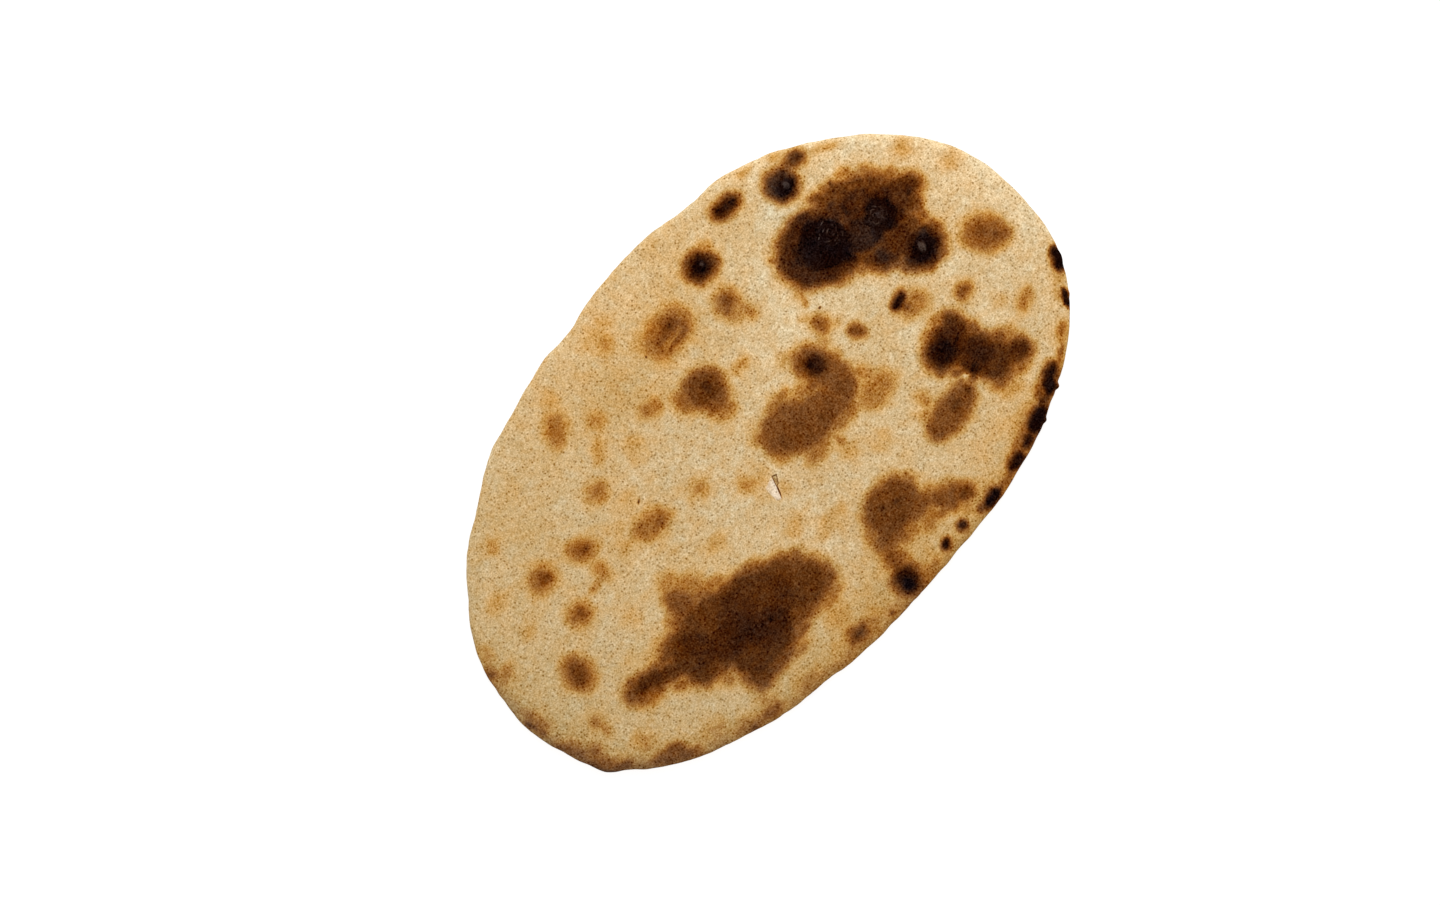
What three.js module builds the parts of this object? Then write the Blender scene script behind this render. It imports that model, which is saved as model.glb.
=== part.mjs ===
// A tandoor bread: one oval flatbread of wholemeal dough, baked against the wall of a clay oven.
//
// Millimetres, +Z up. The long axis runs along X, the short axis along Y, and the bread lies on its
// flat underside at Z = 0, with the origin under the middle of its bounding box.
//
// The body starts as a small lathe-turned disc, and each of its vertices is then moved: the plan is
// stretched to the bread's oval, with the swells of hand-pulled dough round its rim, and the top skin
// is raised by the dough's puffs and by the blisters that steam blew in it.

import * as THREE from "three";
import { mergeVertices } from "three/addons/utils/BufferGeometryUtils.js";

// The oval that the dough was pulled to.
const HALF_LENGTH = 140;
const HALF_WIDTH = 85.1;

// Where the rim leaves that oval: at so many degrees round it from the +X tip, the dough stands this
// many millimetres further out, and the swell fades over so many degrees each way.
const RIM_SWELLS = [
  { at: 303, push: 7.6, spread: 17 },
  { at: 317, push: 2.2, spread: 9 },
  { at: 330, push: 8.2, spread: 16 },
  { at: 217, push: 4.3, spread: 17 },
  { at: 201, push: 2.2, spread: 8 },
  { at: 204, push: 1.2, spread: 3 },
  { at: 238, push: 0.9, spread: 6 },
  { at: 273, push: 0.4, spread: 12 },
  { at: 54, push: 2.6, spread: 10 },
  { at: 61, push: 1.2, spread: 4 },
  { at: 78, push: 1.6, spread: 6 },
  { at: 95, push: -1.5, spread: 4 },
  { at: 117, push: 1.8, spread: 9 },
  { at: 138, push: 0.9, spread: 7 },
  { at: 172, push: -1.4, spread: 7 },
  { at: 18, push: -0.8, spread: 13 },
];

// The section: two skins over the crumb, closed by a rounded rim.
const MIDDLE_THICKNESS = 8.4;
const RIM_THICKNESS = 6.2;
const RIM_DEPTH = 4.4;
const RIM_LIFT = 0.9;
const FLAT_SHARE = 0.8;
const THINNING = 3;

// Puffs: wide, low hills where the dough rose and then browned.
const PUFFS = [
  { x: -58, y: -42, radius: 40, rise: 1.5 },
  { x: 20, y: -6, radius: 30, rise: 1.2 },
  { x: 15, y: -55, radius: 20, rise: 0.9 },
  { x: 80, y: -42, radius: 22, rise: 1.1 },
  { x: 86, y: 26, radius: 34, rise: 1.4 },
  { x: 5, y: 29, radius: 16, rise: 0.8 },
  { x: 13, y: 55, radius: 15, rise: 0.7 },
  { x: -99, y: -25, radius: 15, rise: 0.6 },
  { x: 118, y: -14, radius: 16, rise: 0.7 },
];

// Blisters: small domes of thin skin that stand up on the puffs and char first.
const BLISTERS = [
  { x: 75, y: 30, radius: 14, rise: 1.3 },
  { x: 80, y: 32, radius: 8, rise: 1.2 },
  { x: 98, y: 20, radius: 8, rise: 1.5 },
  { x: 99, y: 0, radius: 7, rise: 1.6 },
  { x: 83, y: 57, radius: 8, rise: 1.7 },
  { x: 40, y: 61, radius: 8, rise: 1.4 },
  { x: 63, y: 68, radius: 8, rise: 0.8 },
  { x: 77, y: -6, radius: 6, rise: 0.8 },
  { x: 38, y: 4, radius: 9, rise: 0.9 },
  { x: 76, y: -31, radius: 11, rise: 0.9 },
];

// The slow waves that are left in hand-stretched dough: from crest to crest, the way they run, how
// high they stand above the skin, and where they start.
const WAVES = [
  { length: 118, heading: 24, rise: 0.45, start: 40 },
  { length: 83, heading: 103, rise: 0.35, start: 200 },
  { length: 52, heading: 151, rise: 0.22, start: 320 },
];

// How finely the body is cut: round the rim, over its edge, and across the top skin, whose rings
// crowd towards the rim, where the blisters are.
const SEGMENTS = 128;
const EDGE_STEPS = 8;
const TOP_RINGS = 26;
const RING_CROWDING = 1.15;
const UNDERSIDE_RINGS = [0, FLAT_SHARE, 0.92, 1];

// Unbrowned wholemeal crust.
const CRUST = new THREE.MeshStandardMaterial({ color: "#d5b583", roughness: 0.9, metalness: 0 });

const { degToRad, lerp, smoothstep } = THREE.MathUtils;

// The share of a swell that is felt this many degrees away from its middle.
function swellShare(degreesAway, spread) {
  return Math.exp(-((degreesAway / spread) ** 2));
}

// How far the rim stands out from the plain oval at an angle, in degrees.
function rimPush(degrees) {
  let push = 0;
  for (const swell of RIM_SWELLS) {
    const away = THREE.MathUtils.euclideanModulo(degrees - swell.at + 180, 360) - 180;
    push += swell.push * swellShare(away, swell.spread);
  }
  return push;
}

// A dome that meets the skin round it without a crease.
function domeHeight(dome, x, y) {
  const away = Math.hypot(x - dome.x, y - dome.y) / dome.radius;
  return away < 1 ? dome.rise * (1 - away ** 2) ** 2 : 0;
}

// One slow wave, faded to nothing at the rim.
function waveHeight(wave, x, y, share) {
  const run = x * Math.cos(degToRad(wave.heading)) + y * Math.sin(degToRad(wave.heading));
  const turn = (2 * Math.PI * run) / wave.length + degToRad(wave.start);
  return wave.rise * Math.sin(turn) * (1 - share ** THINNING);
}

// The height of the top skin over a place in plan, which lies this share of the way to the rim.
function topHeight(x, y, share) {
  let height = lerp(MIDDLE_THICKNESS, RIM_THICKNESS, share ** THINNING);
  for (const wave of WAVES) {
    height += waveHeight(wave, x, y, share);
  }
  for (const dome of [...PUFFS, ...BLISTERS]) {
    height += domeHeight(dome, x, y);
  }
  return height;
}

// The underside is flat, and lifts a little towards the rim.
function undersideHeight(share) {
  return RIM_LIFT * smoothstep(share, FLAT_SHARE, 1);
}

// The section that is turned: out along the underside, up round the rim, and back over the top. Its
// radius runs from 0 to 1 across the skins and on to 2 over the rim, and its height from 0, the
// underside, to 1, the top skin.
function sectionPoints() {
  const points = UNDERSIDE_RINGS.map((share) => new THREE.Vector2(share, 0));
  for (let step = 1; step < EDGE_STEPS; step += 1) {
    const turn = degToRad((180 * step) / EDGE_STEPS - 90);
    points.push(new THREE.Vector2(1 + Math.cos(turn), (1 + Math.sin(turn)) / 2));
  }
  for (let ring = 0; ring <= TOP_RINGS; ring += 1) {
    const share = 1 - (ring / TOP_RINGS) ** RING_CROWDING;
    points.push(new THREE.Vector2(share, 1));
  }
  return points;
}

// Moves one vertex of the turned disc to its place in the bread.
function placeVertex(vertex) {
  const reach = Math.hypot(vertex.x, vertex.y);
  const share = Math.min(reach, 1);
  const angle = Math.atan2(vertex.y, vertex.x);
  const cos = Math.cos(angle);
  const sin = Math.sin(angle);
  const outward = new THREE.Vector2(cos / HALF_LENGTH, sin / HALF_WIDTH).normalize();
  const spot = new THREE.Vector2(HALF_LENGTH * cos, HALF_WIDTH * sin);
  spot.addScaledVector(outward, rimPush(THREE.MathUtils.radToDeg(angle)) - RIM_DEPTH);
  spot.multiplyScalar(share);
  spot.addScaledVector(outward, RIM_DEPTH * (reach - share));
  const top = topHeight(spot.x, spot.y, share);
  const height = lerp(undersideHeight(share), top, vertex.z);
  return vertex.set(spot.x, spot.y, height);
}

function breadGeometry() {
  const turned = new THREE.LatheGeometry(sectionPoints(), SEGMENTS);
  turned.rotateX(Math.PI / 2);
  turned.deleteAttribute("normal");
  turned.deleteAttribute("uv");
  const places = turned.attributes.position;
  const vertex = new THREE.Vector3();
  for (let i = 0; i < places.count; i += 1) {
    placeVertex(vertex.fromBufferAttribute(places, i));
    places.setXYZ(i, vertex.x, vertex.y, vertex.z);
  }
  const body = mergeVertices(turned);
  body.computeBoundingBox();
  const middle = body.boundingBox.getCenter(new THREE.Vector3());
  body.translate(-middle.x, -middle.y, 0);
  body.computeVertexNormals();
  return body;
}

const bread = new THREE.Mesh(breadGeometry(), CRUST);
bread.name = "bread";

const part = new THREE.Group();
part.add(bread);

export default part;
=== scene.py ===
# %% [markdown]
# # A tandoor bread
#
# A tandoor bread is a ball of wholemeal dough, pulled by hand to a long oval and slapped onto the
# hot clay wall of an oven. Steam lifts its skin in low puffs, which scorch brown, and in small
# blisters, which char. This notebook models one such bread and dresses it, in the same frame as
# the solid that it stands for.
#
# The frame comes first. It says where the bread lies and how large it may be. The body below has
# the solid's own sizes, and at the end its skin is kept inside the solid's box. Lengths are in
# millimetres, and they are turned to metres where a mesh is made.

import math

import bmesh
import bpy
import numpy as np
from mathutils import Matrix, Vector, noise


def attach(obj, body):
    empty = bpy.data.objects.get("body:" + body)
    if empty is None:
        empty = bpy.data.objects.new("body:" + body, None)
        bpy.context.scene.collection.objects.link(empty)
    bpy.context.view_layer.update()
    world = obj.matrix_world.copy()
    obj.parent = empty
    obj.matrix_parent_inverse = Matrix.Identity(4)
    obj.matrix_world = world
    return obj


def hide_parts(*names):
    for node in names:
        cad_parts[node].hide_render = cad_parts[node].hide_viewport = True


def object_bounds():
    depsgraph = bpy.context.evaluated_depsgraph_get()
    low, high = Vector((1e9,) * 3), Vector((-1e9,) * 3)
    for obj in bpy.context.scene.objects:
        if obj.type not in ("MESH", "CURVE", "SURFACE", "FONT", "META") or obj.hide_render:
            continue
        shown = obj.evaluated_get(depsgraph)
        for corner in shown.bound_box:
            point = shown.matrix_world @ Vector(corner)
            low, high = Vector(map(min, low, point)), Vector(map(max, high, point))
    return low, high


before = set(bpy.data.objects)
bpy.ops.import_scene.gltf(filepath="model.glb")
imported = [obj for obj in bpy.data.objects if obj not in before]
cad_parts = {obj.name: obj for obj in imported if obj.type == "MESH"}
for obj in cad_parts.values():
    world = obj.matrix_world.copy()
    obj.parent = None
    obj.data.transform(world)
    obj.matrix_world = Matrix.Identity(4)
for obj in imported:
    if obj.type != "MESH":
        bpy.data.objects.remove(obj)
cad_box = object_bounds()
MM = 0.001
print("the frame holds", sorted(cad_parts), "in a box of",
      [round(size / MM, 1) for size in cad_box[1] - cad_box[0]], "mm")

# %% [markdown]
# ## The plan: an oval with swells
#
# Hand-pulled dough is never a true oval. Its rim could be drawn point by point, but it is easier
# to read and to change as an oval plus a few named swells. Each swell says where it stands round
# the rim, in degrees from the +X tip, how far it pushes the rim out, and how far it spreads. The
# smaller lumps and dents that fingers and clay leave are named in the same way.

# %% The rim
HALF_LENGTH = 140.0
HALF_WIDTH = 85.1
RIM_SWELLS = [
    # degrees from the +X tip, push, spread in degrees
    (303, 7.6, 17), (317, 2.2, 9), (330, 8.2, 16),
    (217, 4.3, 17), (201, 2.2, 8), (204, 1.2, 3), (238, 0.9, 6), (273, 0.4, 12),
    (54, 2.6, 10), (61, 1.2, 4), (78, 1.6, 6), (95, -1.5, 4),
    (117, 1.8, 9), (138, 0.9, 7), (172, -1.4, 7), (18, -0.8, 13),
]
RIM_LUMPS = [
    # the same, for what is smaller or slighter than a swell
    (287, 1.2, 7), (256, 0.5, 4), (243, 0.4, 5), (79, -0.6, 3), (112, -0.8, 4), (150, -0.4, 24),
    (132, -0.45, 46),
]


def rim_push(angle):
    """How far the rim stands out from the plain oval at these angles, in radians."""
    push = np.zeros_like(angle)
    for at, height, spread in RIM_SWELLS + RIM_LUMPS:
        away = (np.degrees(angle) - at + 180) % 360 - 180
        push += height * np.exp(-(away / spread) ** 2)
    return push


print("the rim leaves the oval by up to",
      round(float(rim_push(np.linspace(0, 2 * np.pi, 361)).max()), 1), "mm")

# %% [markdown]
# ## The section: two skins and a rounded rim
#
# Between its skins the bread is about 8 mm thick in the middle and 6 mm at the rim, and the
# underside is flat, because it was pressed on the oven wall. Puffs are low hills as wide as the
# scorch marks on them, and blisters are small domes that stand up on the puffs. Three slow waves
# are what is left of the pulling.

# %% Puffs, blisters and waves
MIDDLE_THICKNESS = 8.4
RIM_THICKNESS = 6.2
THINNING = 3  # the power of the way to the rim, by which the bread thins
RIM_DEPTH = 4.4  # how far the rounded rim reaches beyond the two skins
RIM_LIFT = 0.9
FLAT_SHARE = 0.8  # the share of the way to the rim over which the underside lies flat

DOMES = [
    # x, y, radius, rise: first the puffs, then the blisters
    (-58, -42, 40, 1.5), (20, -6, 30, 1.2), (15, -55, 20, 0.9), (80, -42, 22, 1.1),
    (86, 26, 34, 1.4), (5, 29, 16, 0.8), (13, 55, 15, 0.7), (-99, -25, 15, 0.6),
    (118, -14, 16, 0.7),
    (75, 30, 14, 1.3), (80, 32, 8, 1.2), (98, 20, 8, 1.5), (99, 0, 7, 1.6), (83, 57, 8, 1.7),
    (40, 61, 8, 1.4), (63, 68, 8, 0.8), (77, -6, 6, 0.8), (38, 4, 9, 0.9), (76, -31, 11, 0.9),
]
WAVES = [
    # crest to crest, heading and start in degrees, rise
    (118, 24, 40, 0.45), (83, 103, 200, 0.35), (52, 151, 320, 0.22),
]


def smooth(value, start, end):
    """0 before start, 1 after end, and an even S between them."""
    t = np.clip((value - start) / (end - start), 0, 1)
    return t * t * (3 - 2 * t)


def dome(x, y, at_x, at_y, radius, rise):
    """A dome that meets the skin round it without a crease."""
    away = np.hypot(x - at_x, y - at_y) / radius
    return np.where(away < 1, rise * (1 - away ** 2) ** 2, 0)


def top_height(x, y, share):
    """The height of the top skin over a place that lies this share of the way to the rim."""
    flatness = share ** THINNING
    height = MIDDLE_THICKNESS + (RIM_THICKNESS - MIDDLE_THICKNESS) * flatness
    for length, heading, start, rise in WAVES:
        run = x * math.cos(math.radians(heading)) + y * math.sin(math.radians(heading))
        turn = 2 * np.pi * run / length + math.radians(start)
        height += rise * np.sin(turn) * (1 - flatness)
    for hill in DOMES:
        height += dome(x, y, *hill)
    return height


def square_to_rim(angle):
    """The direction straight out of the plain oval at these angles."""
    outward = np.stack([np.cos(angle) / HALF_LENGTH, np.sin(angle) / HALF_WIDTH], 1)
    return outward / np.linalg.norm(outward, axis=1)[:, None]


def placed(disc):
    """Moves points of a small disc to their places in the bread, in millimetres.

    In the disc, the distance from the axis runs from 0 to 1 across the skins and on to 2 over the
    rim, and the height runs from 0, the underside, to 1, the top skin.
    """
    reach = np.hypot(disc[:, 0], disc[:, 1])
    share = np.minimum(reach, 1)
    angle = np.arctan2(disc[:, 1], disc[:, 0])
    outward = square_to_rim(angle)
    spot = np.stack([HALF_LENGTH * np.cos(angle), HALF_WIDTH * np.sin(angle)], 1)
    spot += outward * (rim_push(angle) - RIM_DEPTH)[:, None]
    spot *= share[:, None]
    spot += outward * (RIM_DEPTH * (reach - share))[:, None]
    underside = RIM_LIFT * smooth(share, FLAT_SHARE, 1)
    top = top_height(spot[:, 0], spot[:, 1], share)
    return np.column_stack([spot, underside + (top - underside) * disc[:, 2]])


rim_line = np.linspace(0, 2 * np.pi, 721)
rim_ring = placed(np.column_stack([2 * np.cos(rim_line), 2 * np.sin(rim_line), rim_line * 0]))
PLAN_SHIFT = (rim_ring[:, :2].max(0) + rim_ring[:, :2].min(0)) / 2
print("the middle of the plan is shifted by", PLAN_SHIFT.round(2), "mm to stand over the origin")

# %% [markdown]
# ## The body: a grid pulled into a disc
#
# A lathe would turn this shape, but it crowds its faces round the axis and starves the blisters,
# which lie far from it. Even quads suit a body whose relief is all over its skin. So a flat grid
# is pulled into a disc, square rings becoming round ones, its copy becomes the underside, and its
# border is extruded ring by ring to make the rounded rim, until it meets that copy.

# %% A disc of even quads
ACROSS_X = 224
ACROSS_Y = 152
RIM_STEPS = 12
HAIR = 1e-6  # stands for nothing, where a number mustn't be nought


def round_off(vertex):
    """Moves a vertex of a square grid so that each square ring becomes a round one."""
    x, y = vertex.co.x, vertex.co.y
    ring = max(abs(x), abs(y))
    if ring == 0:
        return
    if abs(x) >= abs(y):
        turn = math.pi / 4 * y / x + (math.pi if x < 0 else 0)
    else:
        turn = math.pi / 2 - math.pi / 4 * x / y + (math.pi if y < 0 else 0)
    vertex.co = Vector((ring * math.cos(turn), ring * math.sin(turn), 1))


def kept(geometry, kind):
    """The parts of one kind, such as vertices, in what an operator gives back."""
    return [part for part in geometry if isinstance(part, kind)]


def disc_of_quads():
    """Both skins and the rounded rim between them, as one closed mesh."""
    bm = bmesh.new()
    bmesh.ops.create_grid(bm, x_segments=ACROSS_X, y_segments=ACROSS_Y, size=1)
    for vertex in bm.verts:
        vertex.co.z = 1
        round_off(vertex)
    border = [edge for edge in bm.edges if edge.is_boundary]
    copy = bmesh.ops.duplicate(bm, geom=bm.verts[:] + bm.edges[:] + bm.faces[:])
    for vertex in kept(copy["geom"], bmesh.types.BMVert):
        vertex.co.z = 0
    for step in range(1, RIM_STEPS + 1):
        turn = math.pi * step / RIM_STEPS
        ring = bmesh.ops.extrude_edge_only(bm, edges=border)["geom"]
        for vertex in kept(ring, bmesh.types.BMVert):
            flat = vertex.co.xy.normalized() * (1 + math.sin(turn))
            vertex.co = (flat.x, flat.y, (1 + math.cos(turn)) / 2)
        border = [edge for edge in kept(ring, bmesh.types.BMEdge) if edge.is_boundary]
    bmesh.ops.remove_doubles(bm, verts=bm.verts, dist=HAIR)
    return bm


bread_bm = disc_of_quads()
print("the disc has", len(bread_bm.verts), "vertices and", len(bread_bm.faces), "faces, with",
      sum(edge.is_boundary for edge in bread_bm.edges), "open edges")

# %% [markdown]
# ## Finer faces where the skin is blistered or torn
#
# The grid's faces are about a millimetre wide, which is fine enough for the crust. The wrinkles on
# a charred blister, the nodules on the rim and the torn skin in the middle are finer than that, so
# the faces there are cut again.

# %% Cut the faces again
FINE_ZONES = [
    # x, y, radius
    (80, 31, 8.5), (98, 20, 7.5), (99, 0, 7), (83, 57, 7), (40, 61, 5), (-7.3, -16, 7),
    (91.5, -72, 4), (78, -77, 4), (46, -81, 4), (130, -42, 5), (121, -54, 4),
    (-45.4, 20.8, 2), (-1.1, 54.2, 1.5), (56.1, 15.4, 1.6), (72, -43, 3), (10.5, 50.7, 5.5),
]
TORN_ZONE = [(-6.6, -16.2, 5.4)]
FINE_CUTS = 2
FINE_ABOVE = 0.3  # the height in the disc, which leaves the underside as it is


def refine(bm, zones, cuts):
    """Cuts the faces of the top skin and the rim that lie in these round zones."""
    centres = np.array([face.calc_center_median() for face in bm.faces])
    spots = placed(centres)[:, :2] - PLAN_SHIFT
    chosen = np.zeros(len(spots), bool)
    for x, y, radius in zones:
        chosen |= np.hypot(spots[:, 0] - x, spots[:, 1] - y) < radius
    chosen &= centres[:, 2] > FINE_ABOVE
    edges = {edge for face, fine in zip(bm.faces, chosen) if fine for edge in face.edges}
    edges = sorted(edges, key=lambda edge: edge.index)
    bmesh.ops.subdivide_edges(bm, edges=edges, cuts=cuts, use_grid_fill=True)


for zones, cuts in ((FINE_ZONES, FINE_CUTS), (TORN_ZONE, 1)):
    bread_bm.edges.index_update()
    refine(bread_bm, zones, cuts)
bmesh.ops.recalc_face_normals(bread_bm, faces=bread_bm.faces)
print("after refining it has", len(bread_bm.faces), "faces")

# %% [markdown]
# ## From the disc to the bread
#
# The mesh is finished as a disc, so its vertices can now be moved to their places all at once, as
# arrays. The disc's own coordinates are kept, because they say how far each vertex lies from the
# rim and which skin it is on.

# %% Place the vertices
bread_mesh = bpy.data.meshes.new("tandoor_bread")
bread_bm.to_mesh(bread_mesh)
bread_bm.free()


def read(items, name):
    """A vector of each vertex, as the rows of an array."""
    values = np.empty(len(items) * 3, np.float32)
    items.foreach_get(name, values)
    return values.reshape(-1, 3).astype(float)


def write(items, name, values):
    """Stores the rows of an array on vertices, corners or an attribute's values."""
    items.foreach_set(name, np.ascontiguousarray(values, np.float32).ravel())


disc = read(bread_mesh.vertices, "co")
level = disc[:, 2]
body = placed(disc)
body[:, :2] -= PLAN_SHIFT
write(bread_mesh.vertices, "co", body * MM)
bread_mesh.update()
outward = read(bread_mesh.vertices, "normal")
x, y = body[:, 0], body[:, 1]

TOP_SHARE = (0.1, 0.5)  # the heights in the disc between which the rim turns to the top skin
TOP_SKIN = 0.9  # above this height in the disc lies the top skin alone
on_top = smooth(level, *TOP_SHARE)
print("the plain body measures", (body.max(0) - body.min(0)).round(1), "mm")

# %% [markdown]
# ## The crust's relief
#
# Baked dough is rough at several sizes at once: slow dimples, a skin like orange peel, and bran.
# Perlin noise gives each, and only its wavelength and depth differ. The rim is rougher than the
# rest, because it was torn off the clay. The finest grain is left to the material's bump, because
# it is smaller than a face.

# %% Noise on the skin
def noise_at(points, wavelength, seed):
    """Perlin noise from -1 to 1, whose swells are about this many millimetres apart."""
    shift = Vector((seed * 17.3, seed * 5.1, seed * 11.7))
    return np.array([noise.noise(Vector(point) / wavelength + shift) for point in points])


def rough(points, layers, seed, step=1):
    """The sum of several noises, each with its wavelength and its depth."""
    return sum(depth * noise_at(points, wavelength, seed + step * layer)
               for layer, (wavelength, depth) in enumerate(layers))


def rim_distance(disc):
    """How far each place is from the rim's outermost line, in plan."""
    reach = np.hypot(disc[:, 0], disc[:, 1])
    edge = placed(disc / np.maximum(reach, HAIR)[:, None])[:, :2]
    outward = edge / np.array([HALF_LENGTH, HALF_WIDTH]) ** 2
    outward /= np.maximum(np.linalg.norm(outward, axis=1), HAIR)[:, None]
    span = (edge * outward).sum(1)
    return RIM_DEPTH + np.where(reach > 1, -(reach - 1) * RIM_DEPTH, (1 - reach) * span)


SKIN_ROUGHNESS = [
    # wavelength, depth
    (17, 0.16), (5, 0.10), (2.4, 0.06),
]
RIM_ROUGHNESS = [(9, 0.34), (3.8, 0.18)]
ROUGH_RIM_WIDTH = 8
SKIN_SEED, RIM_SEED = 0, 61

by_rim = 1 - smooth(rim_distance(disc), 0, ROUGH_RIM_WIDTH)
relief = rough(body, SKIN_ROUGHNESS, SKIN_SEED) + rough(body, RIM_ROUGHNESS, RIM_SEED) * by_rim
print("the skin is rough by", relief.std().round(3), "mm")

# %% [markdown]
# ## Charred blisters and nodules
#
# A blister that chars shrinks on itself. The large ones wrinkle in crumpled rings, like the skin
# on hot milk, and the small ones burst and fall in round a hard core, so each is an oval hollow
# with a lump in its middle. On the rim the char has boiled up in small round nodules, and flakes
# of bran stand on the skin. An oval lies at a tilt, so one function turns places to its own axes,
# and a noise makes the burst blisters crooked.

# %% Where the char has lifted
WRINKLED = [
    # x, y, radius, spacing of the ridges, depth
    (80.7, 31, 6.6, 1.55, 0.3), (97, 21.5, 5, 1.9, 0.26), (82.5, 59.5, 4.5, 2.0, 0.16),
    (73, 31, 11, 3.1, 0.08), (104, 35, 9, 3.4, 0.06),
]
BURST = [
    # x, y, tilt, half length and width of the ring, its depth,
    # half length and width of the core, its height
    (99.3, 0.4, 35, 4.0, 3.3, 0.9, 2.4, 1.9, 0.8), (83.7, 55.8, 80, 2.9, 2.5, 0.8, 1.9, 1.2, 0.6),
    (98.5, 20.0, 60, 5.2, 4.4, 0.4, 2.6, 2.2, 0.2), (39.8, 61, 20, 2.9, 2.5, 0.45, 1.3, 1.0, 0.3),
]
NODULES = [
    # x, y, radius, height
    (91.6, -73.0, 2.2, 1.5), (78.6, -77.6, 2.0, 1.1), (46.5, -81.5, 1.9, 0.9),
    (75.0, -77.8, 2.2, 0.5), (130.5, -42.5, 3.2, 0.5), (121.5, -54, 2.2, 0.5),
    (43, -82.5, 2.4, 0.5), (95.5, -70.5, 2.2, 0.5), (67, -79.5, 1.8, 0.4), (60, -81, 1.8, 0.4),
]
FLAKES = [
    # flakes of bran on the skin: x, y, half length, half width, tilt, heat
    (-45.3, 20.8, 1, 0.5, 30, 0.66), (-1.1, 54.2, 0.5, 0.45, 0, 0.75), (56.1, 15.4, 0.7, 0.5, 10, 0.7),
    (-16.3, 55.7, 0.4, 0.55, 0, 0.4), (-47.5, 47.7, 0.3, 0.8, 0, 0.35),
    (-70.1, 3.7, 0.5, 0.4, 30, 0.35),
]
print(len(WRINKLED), "wrinkled blisters,", len(BURST), "burst ones,", len(NODULES), "nodules and",
      len(FLAKES), "flakes")

# %% Ridges, hollows and lumps
CURL = [
    # how the ridges are crumpled: wavelength, depth
    (4.2, 1.8), (1.7, 0.75),
]
CURL_SEED_STEP = 50
BREAK_LENGTH = 2.2  # the wavelength at which ridges are broken
WHOLE, BREAKING = 0.6, 1.5  # a ridge's height on average, and how far the noise changes it
RIDGES_FADE_FROM = 0.7  # of a blister's radius
RING_WIDTH = 0.4  # of the hollow round a core, as a share of its oval
CROOKED = [(4, 0.9)]
CROOKED_SEEDS = (41, 42)

crooked_x = x + rough(body, CROOKED, CROOKED_SEEDS[0])
crooked_y = y + rough(body, CROOKED, CROOKED_SEEDS[1])
print("the burst blisters are crooked by up to", np.abs(crooked_x - x).max().round(1), "mm")


def oval(x, y, at_x, at_y, long, wide, tilt):
    """How far each place is from an oval's middle, where 1 is on the oval."""
    lean = math.radians(tilt)
    aside, above = x - at_x, y - at_y
    along = (aside * math.cos(lean) + above * math.sin(lean)) / long
    across = (above * math.cos(lean) - aside * math.sin(lean)) / wide
    return np.hypot(along, across)


def lump(away):
    """A dome of height 1, by the distance in an oval."""
    return np.where(away < 1, (1 - away ** 2) ** 2, 0)


def wrinkles(at_x, at_y, radius, spacing, depth, seed):
    """Ridges that curl round a point, crumpled and broken by noise."""
    away = np.hypot(x - at_x, y - at_y)
    near = away < radius
    ridges = np.zeros(len(x))
    curl = away[near] + rough(body[near], CURL, seed, CURL_SEED_STEP)
    broken = np.clip(WHOLE + BREAKING * noise_at(body[near], BREAK_LENGTH, seed + 1), 0, 1)
    ridges[near] = depth * np.sin(2 * np.pi * curl / spacing) * broken
    return ridges * (1 - smooth(away, radius * RIDGES_FADE_FROM, radius))


def burst(at_x, at_y, tilt, ring_long, ring_wide, hollow, core_long, core_wide, height):
    """A hollow ring round a hard lump, neither of them quite round."""
    ring = oval(crooked_x, crooked_y, at_x, at_y, ring_long, ring_wide, tilt)
    core = oval(crooked_x, crooked_y, at_x, at_y, core_long, core_wide, tilt)
    return height * lump(core) - hollow * np.exp(-((ring - 1) / RING_WIDTH) ** 2)


# %% Shape the blisters
CURL_SEED = 30
FLAKE_HEIGHT = 0.25
FLAKE_SLOPE = 0.7  # a flake's foot reaches past its oval by as much as this is less than 1

ridges = sum(wrinkles(*blister, seed=CURL_SEED + 2 * i) for i, blister in enumerate(WRINKLED))
char_relief = ridges + sum(burst(*blister) for blister in BURST)
char_relief += sum(dome(x, y, *nodule) for nodule in NODULES)
flakes = [lump(oval(x, y, *place) * FLAKE_SLOPE) for *place, _ in FLAKES]
relief += (char_relief + FLAKE_HEIGHT * sum(flakes)) * on_top
print("charring moves the skin by", (char_relief * on_top).min().round(2), "to",
      (char_relief * on_top).max().round(2), "mm")

# %% [markdown]
# ## The torn skin
#
# Near the middle the skin has torn along a short slit. On one side the paper-thin skin stands up
# and shows its pale inner face as a small wedge, and on the other a groove runs beside it. It opens
# on a small window of bare crumb at its wide end, and is narrow at the other. The groove's shade is
# painted into its colour: the window is darkened as crumb in shade, with a painted shadow round its
# rim, and the narrow end is painted dark, partly as shade and partly as browning. All of this is
# worked out along the slit and beside it.

# %% Tear the skin
# Places along the slit are shares of its length, and widths and depths are in millimetres.
SLIT_START = np.array([-5.2, -11.9])
SLIT_END = np.array([-9.2, -20.3])

# The lip is a triangle, cut off where the slit ends. It is highest at the slit and droops outwards.
LIP_WIDTH, LIP_HEIGHT, LIP_DROOP = 4.1, 0.5, 0.6
WIDEST_LIP, LIP_POINT = 0.37, 1.6
LIP_EDGE = (-0.8, 0.5)
LIP_CUT = (0.97, 1.05)

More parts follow.
